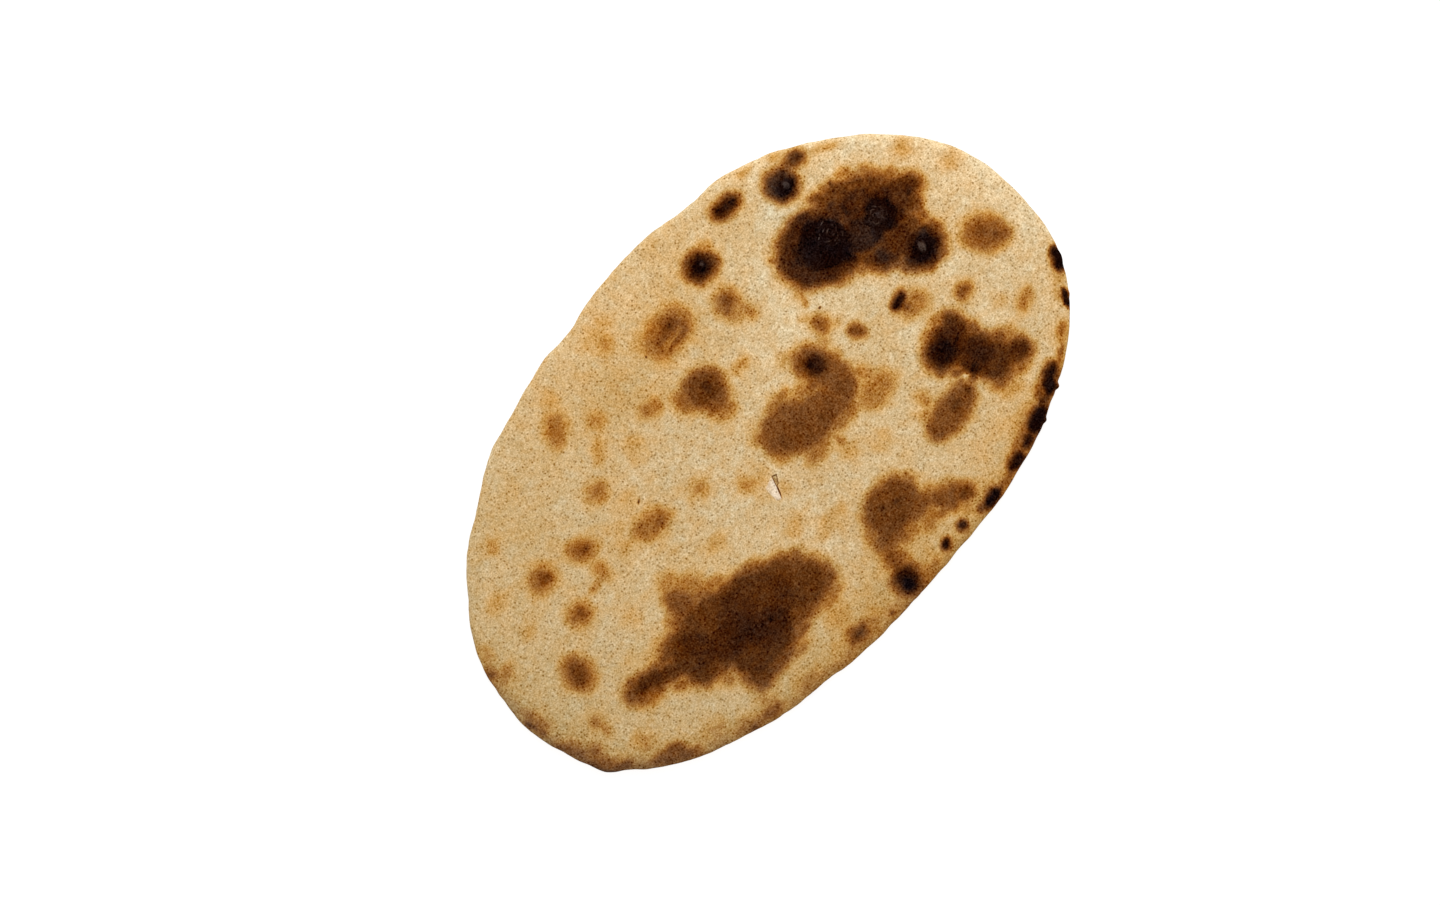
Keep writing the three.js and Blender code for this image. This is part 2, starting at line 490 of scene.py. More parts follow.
# The groove starts as the window, steps in to its narrow part, and tapers to its end.
WINDOW_WIDTH, NARROW_WIDTH = 2.2, 0.95
WINDOW_END, WINDOW_FADE = 0.36, 0.12
WINDOW_TAPER, NARROW_TAPER, TAPER_FROM = 0.3, 0.45, 0.75
GROOVE_END = 1.02
GROOVE_DEPTH, GROOVE_WALL, GROOVE_EDGE = 0.7, 0.35, 0.12

slit_length = np.linalg.norm(SLIT_END - SLIT_START)
along_slit = (SLIT_END - SLIT_START) / slit_length
beside_slit = np.array([along_slit[1], -along_slit[0]])
from_slit = np.stack([x, y], 1) - SLIT_START
run = from_slit @ along_slit / slit_length
side = from_slit @ beside_slit

lip_shape = np.minimum(run / WIDEST_LIP, (LIP_POINT - run) / (LIP_POINT - WIDEST_LIP))
lip_edge = LIP_WIDTH * np.clip(lip_shape, 0, 1)
in_lip = 1 - smooth(side, lip_edge + LIP_EDGE[0], lip_edge + LIP_EDGE[1])
in_lip *= (side > 0) * (lip_edge > 0) * (1 - smooth(run, *LIP_CUT))

in_window = 1 - smooth(run, WINDOW_END, WINDOW_END + WINDOW_FADE)
groove_width = NARROW_WIDTH + (WINDOW_WIDTH - NARROW_WIDTH) * in_window
tapered = WINDOW_TAPER * smooth(run, 0, WINDOW_END) + NARROW_TAPER * smooth(run, TAPER_FROM, 1)
groove_width *= 1 - tapered
into_groove = np.minimum.reduce([-side, groove_width + side, run * slit_length,
                                 (GROOVE_END - run) * slit_length])
in_groove = smooth(into_groove, -GROOVE_EDGE, GROOVE_EDGE)

torn = LIP_HEIGHT * in_lip * (1 - LIP_DROOP * side / LIP_WIDTH)
torn -= GROOVE_DEPTH * smooth(into_groove, 0, GROOVE_WALL)
relief += torn * (level > TOP_SKIN)
print("the slit is", slit_length.round(1), "mm long")

# %% [markdown]
# ## Scorch marks
#
# Browning isn't noise: it sits where the dough rose towards the heat. So each mark is named by its
# place, its size and how hot it got, from 0, unbrowned, to 1, charcoal, or a little more where the
# char is black right to its edge. It fades over a few millimetres, as heat does. Marks that run
# together make the large scorches. A noise bends every edge a little, and the sum leans on the
# hottest mark, so that overlaps don't turn black.

# %% Marks on the right
# In all of these tables a row is x, y, half length, half width, tilt in degrees, heat.
BIG_CHAR = [
    (73, 31, 16.6, 14.8, 0, 0.8), (60.3, 31, 4.6, 9.4, 0, 0.71), (76, 30, 11.4, 11.4, 0, 1.08),
    (67.5, 31, 6, 8.6, 0, 0.93), (78.5, 19.5, 3.2, 4, 0, 0.97), (75, 42.4, 7, 3.2, 0, 0.76),
    (61.5, 26.6, 4.8, 4.8, 20, 0.6), (56, 25.5, 2.6, 3.6, 0, 0.32), (55.5, 33, 2, 5, 0, 0.26),
    (57.2, 34.4, 2.2, 3.2, 0, 0.5), (72, 19, 9, 5, -20, 0.74), (91, 36, 11, 8.6, -5, 0.66),
    (101, 30.5, 12.4, 8.8, -38, 0.65), (87.5, 34.6, 6.4, 5.6, 0, 0.76), (100, 28.4, 11, 7.2, -38, 0.77),
    (91.3, 32.5, 2.4, 3.6, -20, 0.93), (91, 28, 6, 5, 0, 0.84), (87.5, 42.8, 2.6, 3, 0, 0.7),
    (94.5, 41.4, 1.3, 3.4, -30, 0.74), (88.8, 37.4, 3, 2.6, 0, 0.79), (88.5, 20.5, 8.5, 8.5, 0, 0.93),
    (98.5, 20.5, 8.2, 8.4, -10, 1.07), (93, 17, 6, 4, 20, 0.96), (108, 20, 9, 7.6, 0, 0.78),
    (112, 18, 2.4, 2.4, 0, 0.86), (115.2, 18.9, 4.6, 4.9, 0, 0.75), (86, 9.9, 5, 4.8, -35, 0.9),
    (85.5, 9, 4.8, 4.2, -35, 0.76), (88, 6.6, 4.2, 3.3, -30, 0.78), (82, 13, 3.4, 3.8, 0, 0.74),
    (79.2, 16.2, 3.2, 2.8, 0, 0.8), (81.2, 9, 2.4, 2.4, 0, 0.55), (81.8, 20.6, 3.4, 4, 0, 0.9),
    (95, 9.5, 9, 8, 0, 0.77), (101.6, 9.6, 6.8, 7.4, 0, 0.69), (99.6, 0.3, 9.9, 8.5, 0, 0.8),
    (99.3, -0.3, 7.2, 6, 20, 1.12), (93.8, -1.2, 4.4, 4.4, 0, 0.91), (103.6, 3.8, 3.4, 2.6, 20, 0.9),
    (109.6, 13.2, 4.6, 3.2, 0, 0.68), (109, 9, 2.5, 4, 0, 0.58), (108.8, 1.4, 2.7, 4, 0, 0.55),
    (89.6, 1, 2.7, 4.2, 0, 0.58), (87.4, 3.8, 2.4, 2.6, 0, 0.58), (101.5, 41.5, 3.4, 2.2, -35, 0.44),
    (78.2, 12.6, 2.4, 2.4, 0, 0.5), (85.5, 44, 2.6, 2.4, 0, 0.52), (113, 27.5, 3.4, 2.6, -38, 0.46),
    (59.6, 38.6, 2.2, 4, 30, 0.5), (66, 42, 3.6, 3, 30, 0.7), (101.6, -7, 3.8, 3, -10, 0.6),
    (96.6, -5.6, 4.8, 3, -20, 0.77), (84.2, 6.3, 3, 2.8, -30, 0.68), (103.8, 14.6, 3.6, 3, 0, 0.88),
    (107, 37, 2.6, 2.2, -38, 0.44),
]
BY_THE_BIG_CHAR = [
    (82.9, 56.7, 6.6, 7.2, 0, 0.82), (82.8, 56.9, 6.2, 6.2, 0, 0.9), (83.2, 55.8, 5, 4.8, 0, 1.08),
    (94.3, 59.4, 4, 3.4, -10, 0.78), (90, 60, 3.2, 3, 0, 0.62), (89.5, 65.5, 3, 1.6, -30, 0.2),
    (62.6, 68.1, 7, 4, -13, 0.84), (61, 68.8, 4.4, 2.6, -10, 0.87), (66, 67.2, 2.8, 2, 0, 0.9),
    (51.4, 11.2, 3.6, 4.4, -15, 0.55), (58.4, -1.4, 3.8, 2.9, -58, 0.63), (124, 31, 3.4, 3, 0, 0.22),
    (106, 52.5, 3.5, 1.6, -35, 0.3), (78, 71, 3, 1.5, -10, 0.26), (132, 13, 3, 3, 0, 0.14),
    (55.2, 22.4, 3.8, 1.2, 64, 0.42), (49.8, 16.2, 3, 1.6, -40, 0.24), (54.8, 7.4, 2.2, 1.6, 0, 0.24),
    (79.1, 53.6, 3, 3.4, -45, 0.74), (77.4, 59, 2.2, 2.6, 0, 0.56), (101.5, 55.4, 3, 1.4, -35, 0.22),
]
RIGHT = [
    (77.5, -6.3, 4.4, 2.6, 15, 0.95), (80.5, -11.6, 6.6, 5.2, -5, 0.38), (78, -10, 1.6, 2.2, 0, 0.62),
    (118.8, -15, 10, 7.2, -50, 0.5), (118, -13.8, 5, 4.6, -30, 0.58), (113.6, -10.4, 3.5, 3.5, 0, 0.36),
    (122.5, -19.5, 4.2, 3.6, -50, 0.6), (96.8, -22.9, 4.2, 3.1, 0, 0.53), (54.8, -38, 2.4, 3, 0, 0.34),
    (109.3, -42.8, 5.2, 2.7, 15, 0.37), (103, -36, 3, 2, 0, 0.14), (80, -60.5, 5, 2.6, -10, 0.24),
    (80.5, -21.8, 3.6, 2, -10, 0.38), (73.4, -22.6, 3.4, 1.8, 20, 0.38), (96, -46.4, 2, 2.8, 0, 0.38),
    (32, -37, 4, 3, 0, 0.14),
]
DARK_GROUP = [
    (75.9, -31.1, 10.6, 8.2, 5, 0.82), (74.3, -31.6, 6.4, 6.6, 0, 0.95),
    (80.3, -32.4, 2.2, 1.2, 0, 0.93), (84.8, -29, 4.6, 7.2, 0, 0.76), (81.5, -41.5, 9.6, 9, 0, 0.76),
    (82.6, -41.5, 6.4, 7.6, 0, 0.82), (76.2, -44.8, 2.6, 3.6, -20, 0.97),
    (84, -49.5, 9, 8.2, -10, 0.76), (93.3, -53.5, 5.4, 5, -20, 0.82), (91, -44.8, 4.4, 4, 0, 0.6),
    (81, -56.8, 6, 3, -10, 0.5), (90, -58, 6, 2.6, 0, 0.46), (58, -49, 13.6, 6.8, 5, 0.58),
    (61.5, -48.8, 4.4, 2.4, 0, 0.69), (68.2, -48.3, 3.2, 2.6, 0, 0.71), (73.5, -46, 3, 3.2, 0, 0.6),
    (71.4, -41, 3.6, 2.2, -35, 0.58), (88.5, -34.5, 2.6, 3.4, 0, 0.58),
    (89.5, -55.5, 3.4, 2.4, -10, 0.66), (50.5, -42.4, 3, 2.2, 0, 0.32),
    (68.2, -34.8, 2.8, 3.8, -30, 0.61), (68.8, -44.4, 2.4, 2, 0, 0.52),
    (75.2, -41.2, 2.6, 2.4, 0, 0.78),
]
RIGHT_RIM = [
    (129.5, -42.6, 5.2, 3.1, 57, 1.03), (127.4, -40.2, 1.4, 1.2, 0, 0.5),
    (131.8, -38, 1.4, 1.8, 0, 0.2), (120.2, -54.3, 4.3, 1.7, 58, 0.96),
    (119.4, -51.6, 2.6, 2.6, 0, 0.32), (109.4, -61.5, 3.4, 1.9, 25, 0.48), (102, -67, 4, 1.5, 28, 0.5),
    (92.7, -69.4, 6.4, 3.3, 24, 0.93), (90.4, -71.4, 4.6, 2.5, 28, 1), (84.5, -73.4, 4, 2.4, 15, 0.7),
    (77, -76.4, 6.8, 3.6, 15, 1.03), (68.3, -78.8, 3.6, 2.3, 10, 0.88),
    (59.8, -80.3, 4.6, 2.9, 12, 0.96), (70, -76.5, 14, 3, 12, 0.44), (52, -82.4, 6, 1.8, 5, 0.36),
    (42.9, -82.4, 5.4, 2.8, 0, 1), (38, -81.5, 3, 2.2, 0, 0.6), (74, -73, 8, 3.4, 12, 0.22),
    (86, -69.8, 3.2, 2.2, 20, 0.56), (124.4, -47.2, 2.4, 3, 0, 0.28), (44.5, -79, 3, 1.6, 0, 0.34),
    (107, -63.6, 3, 1.6, 28, 0.26), (34.5, -77, 3.4, 2, 0, 0.26),
]
MARKS_RIGHT = BIG_CHAR + BY_THE_BIG_CHAR + RIGHT + DARK_GROUP + RIGHT_RIM
print(len(MARKS_RIGHT), "marks on the right")

# %% Marks in the middle
TOP_MIDDLE = [
    (38.7, 60.8, 6.6, 6.2, 0, 0.86), (38.6, 60.8, 4.5, 4.3, 0, 1), (35, 43.8, 5.6, 5.2, 0, 0.48),
    (35, 44.2, 3.2, 3.6, 0, 0.6), (37.4, 36.4, 2.8, 4.4, 10, 0.36), (32.4, 41.6, 2.6, 2.2, 0, 0.56),
    (33.6, 38.4, 3.6, 3, -30, 0.36), (11.2, 54.1, 11.9, 8.4, 0, 0.38), (14.2, 55, 5.4, 4.8, 0, 0.62),
    (14.1, 55.4, 2.2, 1.9, 0, 0.72), (8.3, 54.6, 4.6, 3.4, 0, 0.5), (12.5, 49.2, 6.4, 1.9, 0, 0.52),
    (17.6, 51.6, 2.6, 3.4, 0, 0.5), (2.5, 57, 3.6, 4, 0, 0.24), (4, 29.3, 8.8, 8.4, 0, 0.64),
    (5, 29, 3.4, 4.6, 0, 0.73), (-4.5, 32, 4.4, 5.2, 0, 0.44), (3.4, 22.6, 6.2, 5, 0, 0.54),
    (3, 17.8, 4.6, 2.8, 0, 0.36), (-15.1, 40.2, 5.3, 3.1, -20, 0.34), (19.4, 24.5, 4, 2.1, -5, 0.29),
    (-7.3, 69.6, 3, 2.6, 20, 0.3), (-5, 75, 8, 3, 0, 0.1), (-44.7, 63.3, 6.2, 4.5, 45, 0.39),
    (-38, 71, 4, 3, 60, 0.11), (-48, 60, 3.4, 2.8, 0, 0.34), (-32.7, 53.6, 3, 3, 0, 0.28),
    (-40, 45, 6, 2.4, 40, 0.16), (-30, 35, 5, 3.6, 50, 0.16), (-26.8, 6.7, 4, 3.2, 0, 0.32),
    (-13, -7.2, 3.8, 3.2, -30, 0.29), (-7, -8, 2.4, 2.4, 0, 0.18), (35.4, 57.4, 3, 2.8, 0, 0.66),
    (43.8, 58, 2.4, 2.8, 0, 0.64), (46.2, 64, 2, 2.6, 0, 0.34),
]
MIDDLE = [
    (12.6, -4.2, 12.3, 9.4, 0, 0.56), (19.8, -9.4, 15.4, 9.2, -6, 0.57),
    (18.6, -14.2, 9.6, 5.5, 0, 0.54), (39.4, -5, 7.8, 10.6, 0, 0.58), (33, -12.2, 12.6, 6, 4, 0.56),
    (6.2, -7, 5.8, 6, 0, 0.52), (18, 1.2, 4, 3.2, 0, 0.54), (37.8, 4, 7.2, 7.2, 0, 0.66),
    (38, 2.9, 5.5, 5.4, 0, 0.86), (37.4, 3.9, 2.3, 2.2, -45, 0.96), (40.3, -0.6, 2.8, 3.2, 0, 0.74),
    (26.5, -0.5, 5, 3.4, 0, 0.4), (45.5, -21.4, 9, 5.8, -10, 0.345), (52, -20.4, 3, 3.4, 0, 0.26),
    (22.4, -23.5, 1.7, 3, 0, 0.36), (21.4, -28, 3.2, 4.4, 0, 0.15), (48.2, -13.6, 3, 4, 20, 0.34),
    (31, -18.8, 8.5, 2.9, 0, 0.38), (14, -19.4, 6.6, 3.4, 0, 0.38), (38, 9.6, 6, 3.2, -10, 0.4),
    (2.4, 1.6, 3.6, 2.6, 40, 0.36), (18, 5, 6.4, 2.2, 0, 0.38), (46.5, 5.6, 3, 2.6, 0, 0.32),
    (31.6, -1.8, 3.4, 2.8, 0, 0.54), (-4, -41, 8, 3, 0, 0.15), (-14, -31, 5, 4, 0, 0.14),
    (-4.6, -19.4, 2.4, 2, 0, 0.18), (31, 13, 3, 2.4, 0, 0.24),
]
BOTTOM_MIDDLE = [
    (15.6, -54.4, 12.8, 9.9, 0, 0.61), (12.7, -52, 2.4, 2.4, 0, 0.72),
    (18.5, -54.9, 3.4, 2.6, -20, 0.73), (9.5, -60.6, 9, 5.8, 8, 0.57), (20, -62, 8.8, 4.9, -6, 0.56),
    (12, -66.2, 6.6, 2.8, 0, 0.36), (22, -69.4, 5.6, 3.8, 0, 0.36), (2.6, -58, 4.6, 7.4, -20, 0.4),
    (3, -62, 4.4, 5, 0, 0.5), (0.8, -69, 4, 5.6, 0, 0.52), (-1.9, -77.4, 5.6, 6.2, 0, 0.9),
    (-2.8, -79.1, 3.6, 4, 0, 1), (33, -69, 9.2, 5, -33, 0.57), (38, -72.7, 4.6, 3.8, -20, 0.61),
    (27.5, -63.4, 4.8, 4, 0, 0.46), (6, -81.5, 6, 2, 0, 0.2), (18.2, -80, 2.7, 1.9, 0, 0.94),
    (27.5, -80.3, 2.5, 2.2, 0, 0.88), (-15.5, -81.2, 1.4, 0.9, 0, 0.5), (-30, -76.6, 5.6, 3, 5, 0.54),
    (-30, -76.6, 2.8, 1.6, 0, 0.72), (-31, -74, 2.4, 2.2, 0, 0.46), (-23.5, -77, 3.4, 2, 0, 0.22),
    (-40, -77, 6, 3, 0, 0.1), (31, -72, 4.4, 2.6, -30, 0.53), (26, -71.2, 2.8, 2.2, 0, 0.46),
    (28, -52.8, 2.4, 3.4, 0, 0.44),
]
MARKS_MIDDLE = TOP_MIDDLE + MIDDLE + BOTTOM_MIDDLE
print(len(MARKS_MIDDLE), "marks in the middle")

# %% Marks on the left
LEFT = [
    (-92.1, 30, 5.9, 5.3, 0, 0.4), (-91.3, 29.4, 3.5, 3.2, 0, 0.64), (-73.5, 25.6, 6.2, 4.6, -35, 0.46),
    (-73, 25.3, 3.4, 3.2, 0, 0.62), (-74.8, 14.4, 4.6, 3, 80, 0.34), (-80.6, 12.6, 3.6, 1.6, 0, 0.3),
    (-93, 10.3, 5.3, 4.7, 0, 0.42), (-92.4, 10, 2.8, 2.8, 0, 0.6), (-52.8, 35.5, 4.4, 3.6, 0, 0.36),
    (-49, 11.5, 8.2, 5.2, -20, 0.41), (-45.8, 9.8, 3, 2.6, 0, 0.48), (-53.2, 13.3, 3.6, 3.2, 0, 0.4),
    (-110.6, -4, 7.2, 5.8, 78, 0.52), (-110.9, -3.9, 5.6, 4.2, 76, 0.63),
    (-120.5, -21, 2.7, 2.6, 0, 0.3), (-120.4, -25.2, 1.7, 2.8, 0, 0.3),
    (-94.7, 52.4, 1.7, 2.8, -30, 0.3), (-128, 17.2, 3.5, 2.2, 20, 0.24), (-110, 37, 4, 3, 0, 0.14),
    (-111, 21.5, 3, 2.4, 0, 0.2), (-62, 13, 5, 4, 0, 0.16), (-81, -5, 4, 3, 0, 0.06),
    (-48, 24, 4, 3, 0, 0.14), (-58, 19.5, 3, 2, 0, 0.17), (-114, -39.8, 3, 3, 0, 0.24),
    (-108.4, 1.4, 3, 2.4, 0, 0.44), (-38, -12, 3, 2.4, 0, 0.19),
]
BIG_SCORCH = [
    (-95.6, -27, 8.6, 4.7, -16, 0.75), (-101, -26, 7.2, 4.5, -5, 0.56),
    (-98, -29.4, 8.4, 4.4, -14, 0.48), (-88, -30.4, 6.4, 4.4, -20, 0.7),
    (-80.5, -24.6, 7.6, 3.2, 17, 0.6), (-81, -22.8, 7.4, 3, 17, 0.38), (-76, -32.3, 10.4, 10, -8, 0.71),
    (-62, -34.5, 18, 14.2, -8, 0.71), (-47.5, -39.6, 18.5, 14, -12, 0.72),
    (-45, -40.3, 20, 15.8, -15, 0.6), (-30.5, -47, 12.4, 10.4, -15, 0.67),
    (-26.6, -51.4, 10.8, 7.6, -8, 0.6), (-19.4, -48, 3.6, 8.4, 8, 0.38),
    (-25.5, -59.6, 6, 2.4, 4, 0.36), (-39, -54.8, 8, 4, 0, 0.59), (-55, -49.6, 17, 11, 0, 0.73),
    (-50, -49, 11, 7.4, 0, 0.74), (-47.4, -47, 1.4, 1.9, 20, 0.95), (-62, -40, 13, 8.6, 0, 0.75),
    (-65.9, -57.4, 6.4, 6.2, 5, 0.7), (-79, -40, 7.4, 5.8, -20, 0.69), (-46, -59, 8, 2.8, 0, 0.5),
    (-57, -60.3, 8.6, 3.4, 0, 0.58), (-65, -17.4, 6.2, 8.2, 0, 0.57), (-60, -16, 8.6, 6.8, -20, 0.36),
    (-57, -20.8, 4.6, 2.8, -22, 0.52), (-62.4, -8.6, 4.6, 4.4, 20, 0.3), (-71, -20, 4.4, 3.6, 0, 0.5),
    (-51, -21.4, 4.6, 2.8, -25, 0.42), (-72, -65, 3.6, 5, 0, 0.26), (-28.6, -36.4, 6, 4, -40, 0.64),
    (-23.4, -40, 4, 4, -50, 0.56), (-75, -48.5, 3, 3.4, 0, 0.4), (-73.6, -44.4, 5, 3.2, -25, 0.6),
    (-89, -36.6, 3.4, 2, -20, 0.44), (-100, -22.4, 3.4, 2.2, -16, 0.56),
    (-47.6, -27.4, 7, 3.6, -22, 0.63), (-33.4, -57, 4.4, 2.8, 0, 0.5),
    (-68.4, -61.4, 3.4, 2.6, 0, 0.52), (-73, -23.6, 5, 3, 10, 0.62), (-88.6, -25.8, 4, 2.6, 0, 0.52),
    (-71, -53.6, 2.6, 3, 0, 0.52), (-49, -63.2, 5, 2, 0, 0.34),
]
# Along the lower left rim these marks are partly browning and partly painted shade, on the side of the
# rim turned from the light
LEFT_RIM_BROWNING_AND_SHADE = [
    (-132.7, 21.8, 2, 2.8, 60, 0.38), (-135, -21, 7, 2.4, -68, 0.28),
    (-130.4, -33.5, 7.5, 2.2, -58, 0.28), (-126.6, -39.4, 4, 1.6, -35, 0.34),
    (-111.4, -52.4, 9.4, 3, -35, 0.4), (-109, -51, 4.4, 2.6, -35, 0.5), (-106, -56.4, 4, 2, -40, 0.32),
    (-129.4, -28, 2.4, 3, -50, 0.34), (-137.8, -3.4, 1.4, 3, 0, 0.48), (-137, -8, 1, 1.4, 0, 0.48),
    (-81, -68, 8, 3, -22, 0.26), (-83, -69, 2, 1.6, 0, 0.44), (-56, -74.5, 5.5, 3.2, 0, 0.12),
    (-128, 27.6, 2, 3, -30, 0.14), (-135, -3, 2.2, 6, 0, 0.27), (-74, -70, 5, 2.4, -15, 0.46),
    (-93, -58, 5, 3, -30, 0.18), (-30, -66.5, 4, 3, 0, 0.18),
]
MARKS_LEFT = LEFT + BIG_SCORCH + LEFT_RIM_BROWNING_AND_SHADE
MARKS_TOP = MARKS_RIGHT + MARKS_MIDDLE + MARKS_LEFT
print(len(MARKS_LEFT), "marks on the left, so", len(MARKS_TOP), "in all")

# %% Creases, a painted highlight, and uneven browning
CREASES_AND_HIGHLIGHT = [
    # thin lines where the skin cracked as it browned, and paler spots, which by (72, -44) are a painted
    # highlight on a crease
    (10.2, 50.6, 4.4, 0.35, 6, -0.16), (14.5, 51.6, 2.4, 0.3, 25, -0.10), (11, 52.2, 4, 0.3, 8, -0.08),
    (72.1, -44.3, 1.6, 0.9, -60, -0.50), (74.5, -48, 0.8, 1.4, 0, -0.20),
]
BLOTCHED = [
    # where a noise makes the browning uneven, and how strongly
    (102, 33, 11, 8, -35, 0.16), (62, 40, 8, 6, 40, 0.10),
]
BLOTCH_LENGTH, BLOTCH_SEED = 2.6, 16
print(len(CREASES_AND_HIGHLIGHT), "creases and chips, and", len(BLOTCHED), "blotched places")

# %% Turn marks to browning
LEAST_FADE, WIDEST_FADE = 0.4, 3.6  # millimetres
FAINT_FADE, SCORCH_FADE = 1.1, 0.7  # how far a mark fades, as a share of its narrower half
SCORCHING = 0.6  # the heat from which a mark fades as a scorch does
HOTTEST = 1.12
BLEND_POWER = 8
BENDS = [
    # how a noise bends the marks' edges: wavelength, push
    (8, 0.45), (3.2, 0.8),
]
BEND_SEEDS = (11, 13)
FLAKE_EVENNESS = 1.6  # how much of a flake is as dark as its middle


def outside(x, y, at_x, at_y, long, wide, tilt):
    """How far each place is outside an oval, in millimetres, and less than 0 inside."""
    away = np.maximum(oval(x, y, at_x, at_y, long, wide, tilt), HAIR)
    return np.hypot(x - at_x, y - at_y) * (1 - 1 / away)


def scorched(x, y, marks):
    """How brown each place is: 1 is black. A faint mark fades over more of its width."""
    total = np.zeros(len(x))
    for *place, heat in marks:
        softness = FAINT_FADE + (SCORCH_FADE - FAINT_FADE) * min(heat / SCORCHING, 1)
        fade = min(WIDEST_FADE, softness * min(place[2:4]) + LEAST_FADE)
        total += (heat * (1 - smooth(outside(x, y, *place), -fade, fade))) ** BLEND_POWER
    return np.minimum(total ** (1 / BLEND_POWER), HOTTEST)


def bells(x, y, regions):
    """The sum of broad, soft changes, each a bell curve over an oval."""
    return sum(change * np.exp(-oval(x, y, *place) ** 2) for *place, change in regions)


bent_x = x + rough(body, BENDS, BEND_SEEDS[0])
bent_y = y + rough(body, BENDS, BEND_SEEDS[1])
brown_top = scorched(bent_x, bent_y, MARKS_TOP)
brown_top += bells((x + bent_x) / 2, (y + bent_y) / 2, CREASES_AND_HIGHLIGHT)
brown_top += bells(x, y, BLOTCHED) * noise_at(body, BLOTCH_LENGTH, BLOTCH_SEED)
for flake, (*_, heat) in zip(flakes, FLAKES):
    brown_top = np.maximum(brown_top, heat * np.minimum(FLAKE_EVENNESS * flake, 1))
print("the top skin is browned by", brown_top[level > 0.99].mean().round(2), "on average")

# %% [markdown]
# ## Toasting, and painted light and shade
#
# Between its marks the crust isn't one tan. Whole regions are toasted a shade darker, and a few
# stayed paler. The left end is darker and the right end paler, partly as toasting and partly as
# painted shade and painted light, as from a light at the upper right. The rim is darker on the
# lower left, partly toasted where it lay against the hottest clay and partly painted shade on the
# side turned from the light, and paler on the upper right, where light is painted on it. These are
# broad and soft, so each is a bell curve, over the skin or along the rim.

# %% Toast the skin and the rim, and paint their light and shade
# Toasting, with painted shade towards the left end and painted light towards the right end
TOAST_AND_PAINTED_SHADING = [
    # x, y, half length, half width, tilt in degrees, heat
    (-130, 5, 48, 90, 0, 0.075), (-75, 55, 42, 26, 25, 0.04), (-8, 53, 34, 18, 0, 0.09),
    (-20, -72, 48, 12, 0, 0.12), (62, -72, 28, 7, 8, 0.05), (42, 76, 14, 6, -10, 0.05),
    (55, 20, 26, 16, 10, -0.05), (100, -30, 30, 12, 0, -0.02), (115, 45, 25, 12, -35, -0.02),
    (-25, 5, 30, 16, 0, 0.02), (-30, -16, 26, 12, 0, 0.02), (108, 8, 10, 12, 0, -0.02),
    (-95, -47, 14, 10, -35, 0.05), (58, 57, 12, 9, -20, 0.05), (72, 8, 12, 8, 0, -0.03),
    (74, 51, 7, 6, 0, -0.07), (133, -16, 5, 9, 0, -0.06),
]
# Rim toasting, with painted shade on the lower left and painted light on the upper right
RIM_TOAST_AND_PAINTED_SHADING = [
    # where round the rim and how far, in degrees, then heat, and width in millimetres
    (166, 8, 0.20, 6), (182, 14, 0.24, 7), (204, 14, 0.31, 8), (224, 12, 0.24, 6),
    (243, 16, 0.24, 7), (266, 12, 0.28, 6.5), (288, 14, 0.22, 5), (304, 10, 0.24, 5),
    (88, 14, 0.04, 5), (122, 14, -0.03, 5), (18, 50, -0.085, 8), (203, 4, 0.35, 1.2),
]
RIM_EDGE = [(6, 0.8)]  # the wavelength and push of the noise that bends the toasted rim
RIM_EDGE_SEED = 15
RIM_FADE_POWER = 1.5

from_rim = rim_distance(disc) + rough(body, RIM_EDGE, RIM_EDGE_SEED)
round_the_rim = np.degrees(np.arctan2(disc[:, 1], disc[:, 0]))


def along_rim(rows):
    """The sum of soft changes that fade along the rim and inwards from it."""
    total = np.zeros(len(x))
    for at, spread, change, width in rows:
        away = (round_the_rim - at + 180) % 360 - 180
        inwards = np.maximum(from_rim, 0) / width
        total += change * np.exp(-(away / spread) ** 2 - inwards ** RIM_FADE_POWER)
    return total


toast_and_painted_shading = bells(x, y, TOAST_AND_PAINTED_SHADING) + along_rim(RIM_TOAST_AND_PAINTED_SHADING)
brown_top = np.maximum(brown_top, 0) + toast_and_painted_shading * (1 - brown_top)
print("toasting runs from", toast_and_painted_shading.min().round(2), "to", toast_and_painted_shading.max().round(2))

# %% [markdown]
# ## The underside
#
# Nobody sees the face that stuck to the clay until the bread is turned over. It bakes more evenly:
# many small brown marks where it touched, a few large ones, and shallow pits where steam was
# caught. They are drawn from a seeded generator, so they are the same at every run.

# %% Marks and pits on the underside
UNDERSIDE_SEED = 7
UNDERSIDE_AREA = 0.92  # the share of it that marks and pits lie on
UNDERSIDE_TOP = 0.35  # the height in the disc where it has turned to the rim
MARKS_UNDER = 130
LEAST_MARK, MARK_RANGE = 2.2, 9  # the smallest half width, and how much the largest adds
MARK_STRETCH = (1, 1.7)
MARK_HEAT, HOT_MARK = (0.2, 0.42), 0.35  # of most marks, and how much the hottest adds
RARITY = (3, 2)  # the powers that make large marks rare, and hot ones
PITS_UNDER = 110
PIT_RADIUS = (1.6, 4.2)
PIT_DEPTH, PIT_SHARES = 0.45, (0.4, 1)  # of the deepest pit, and the others' shares of it
SWELL_LENGTH, SWELL_DEPTH, SWELL_SEED = 7, 0.06, 21

draw = np.random.default_rng(UNDERSIDE_SEED)


def somewhere():
    """A place on the underside, evenly spread over its area."""
    turn, out = draw.uniform(0, 2 * np.pi), math.sqrt(draw.uniform(0, UNDERSIDE_AREA))
    return HALF_LENGTH * out * math.cos(turn), HALF_WIDTH * out * math.sin(turn)


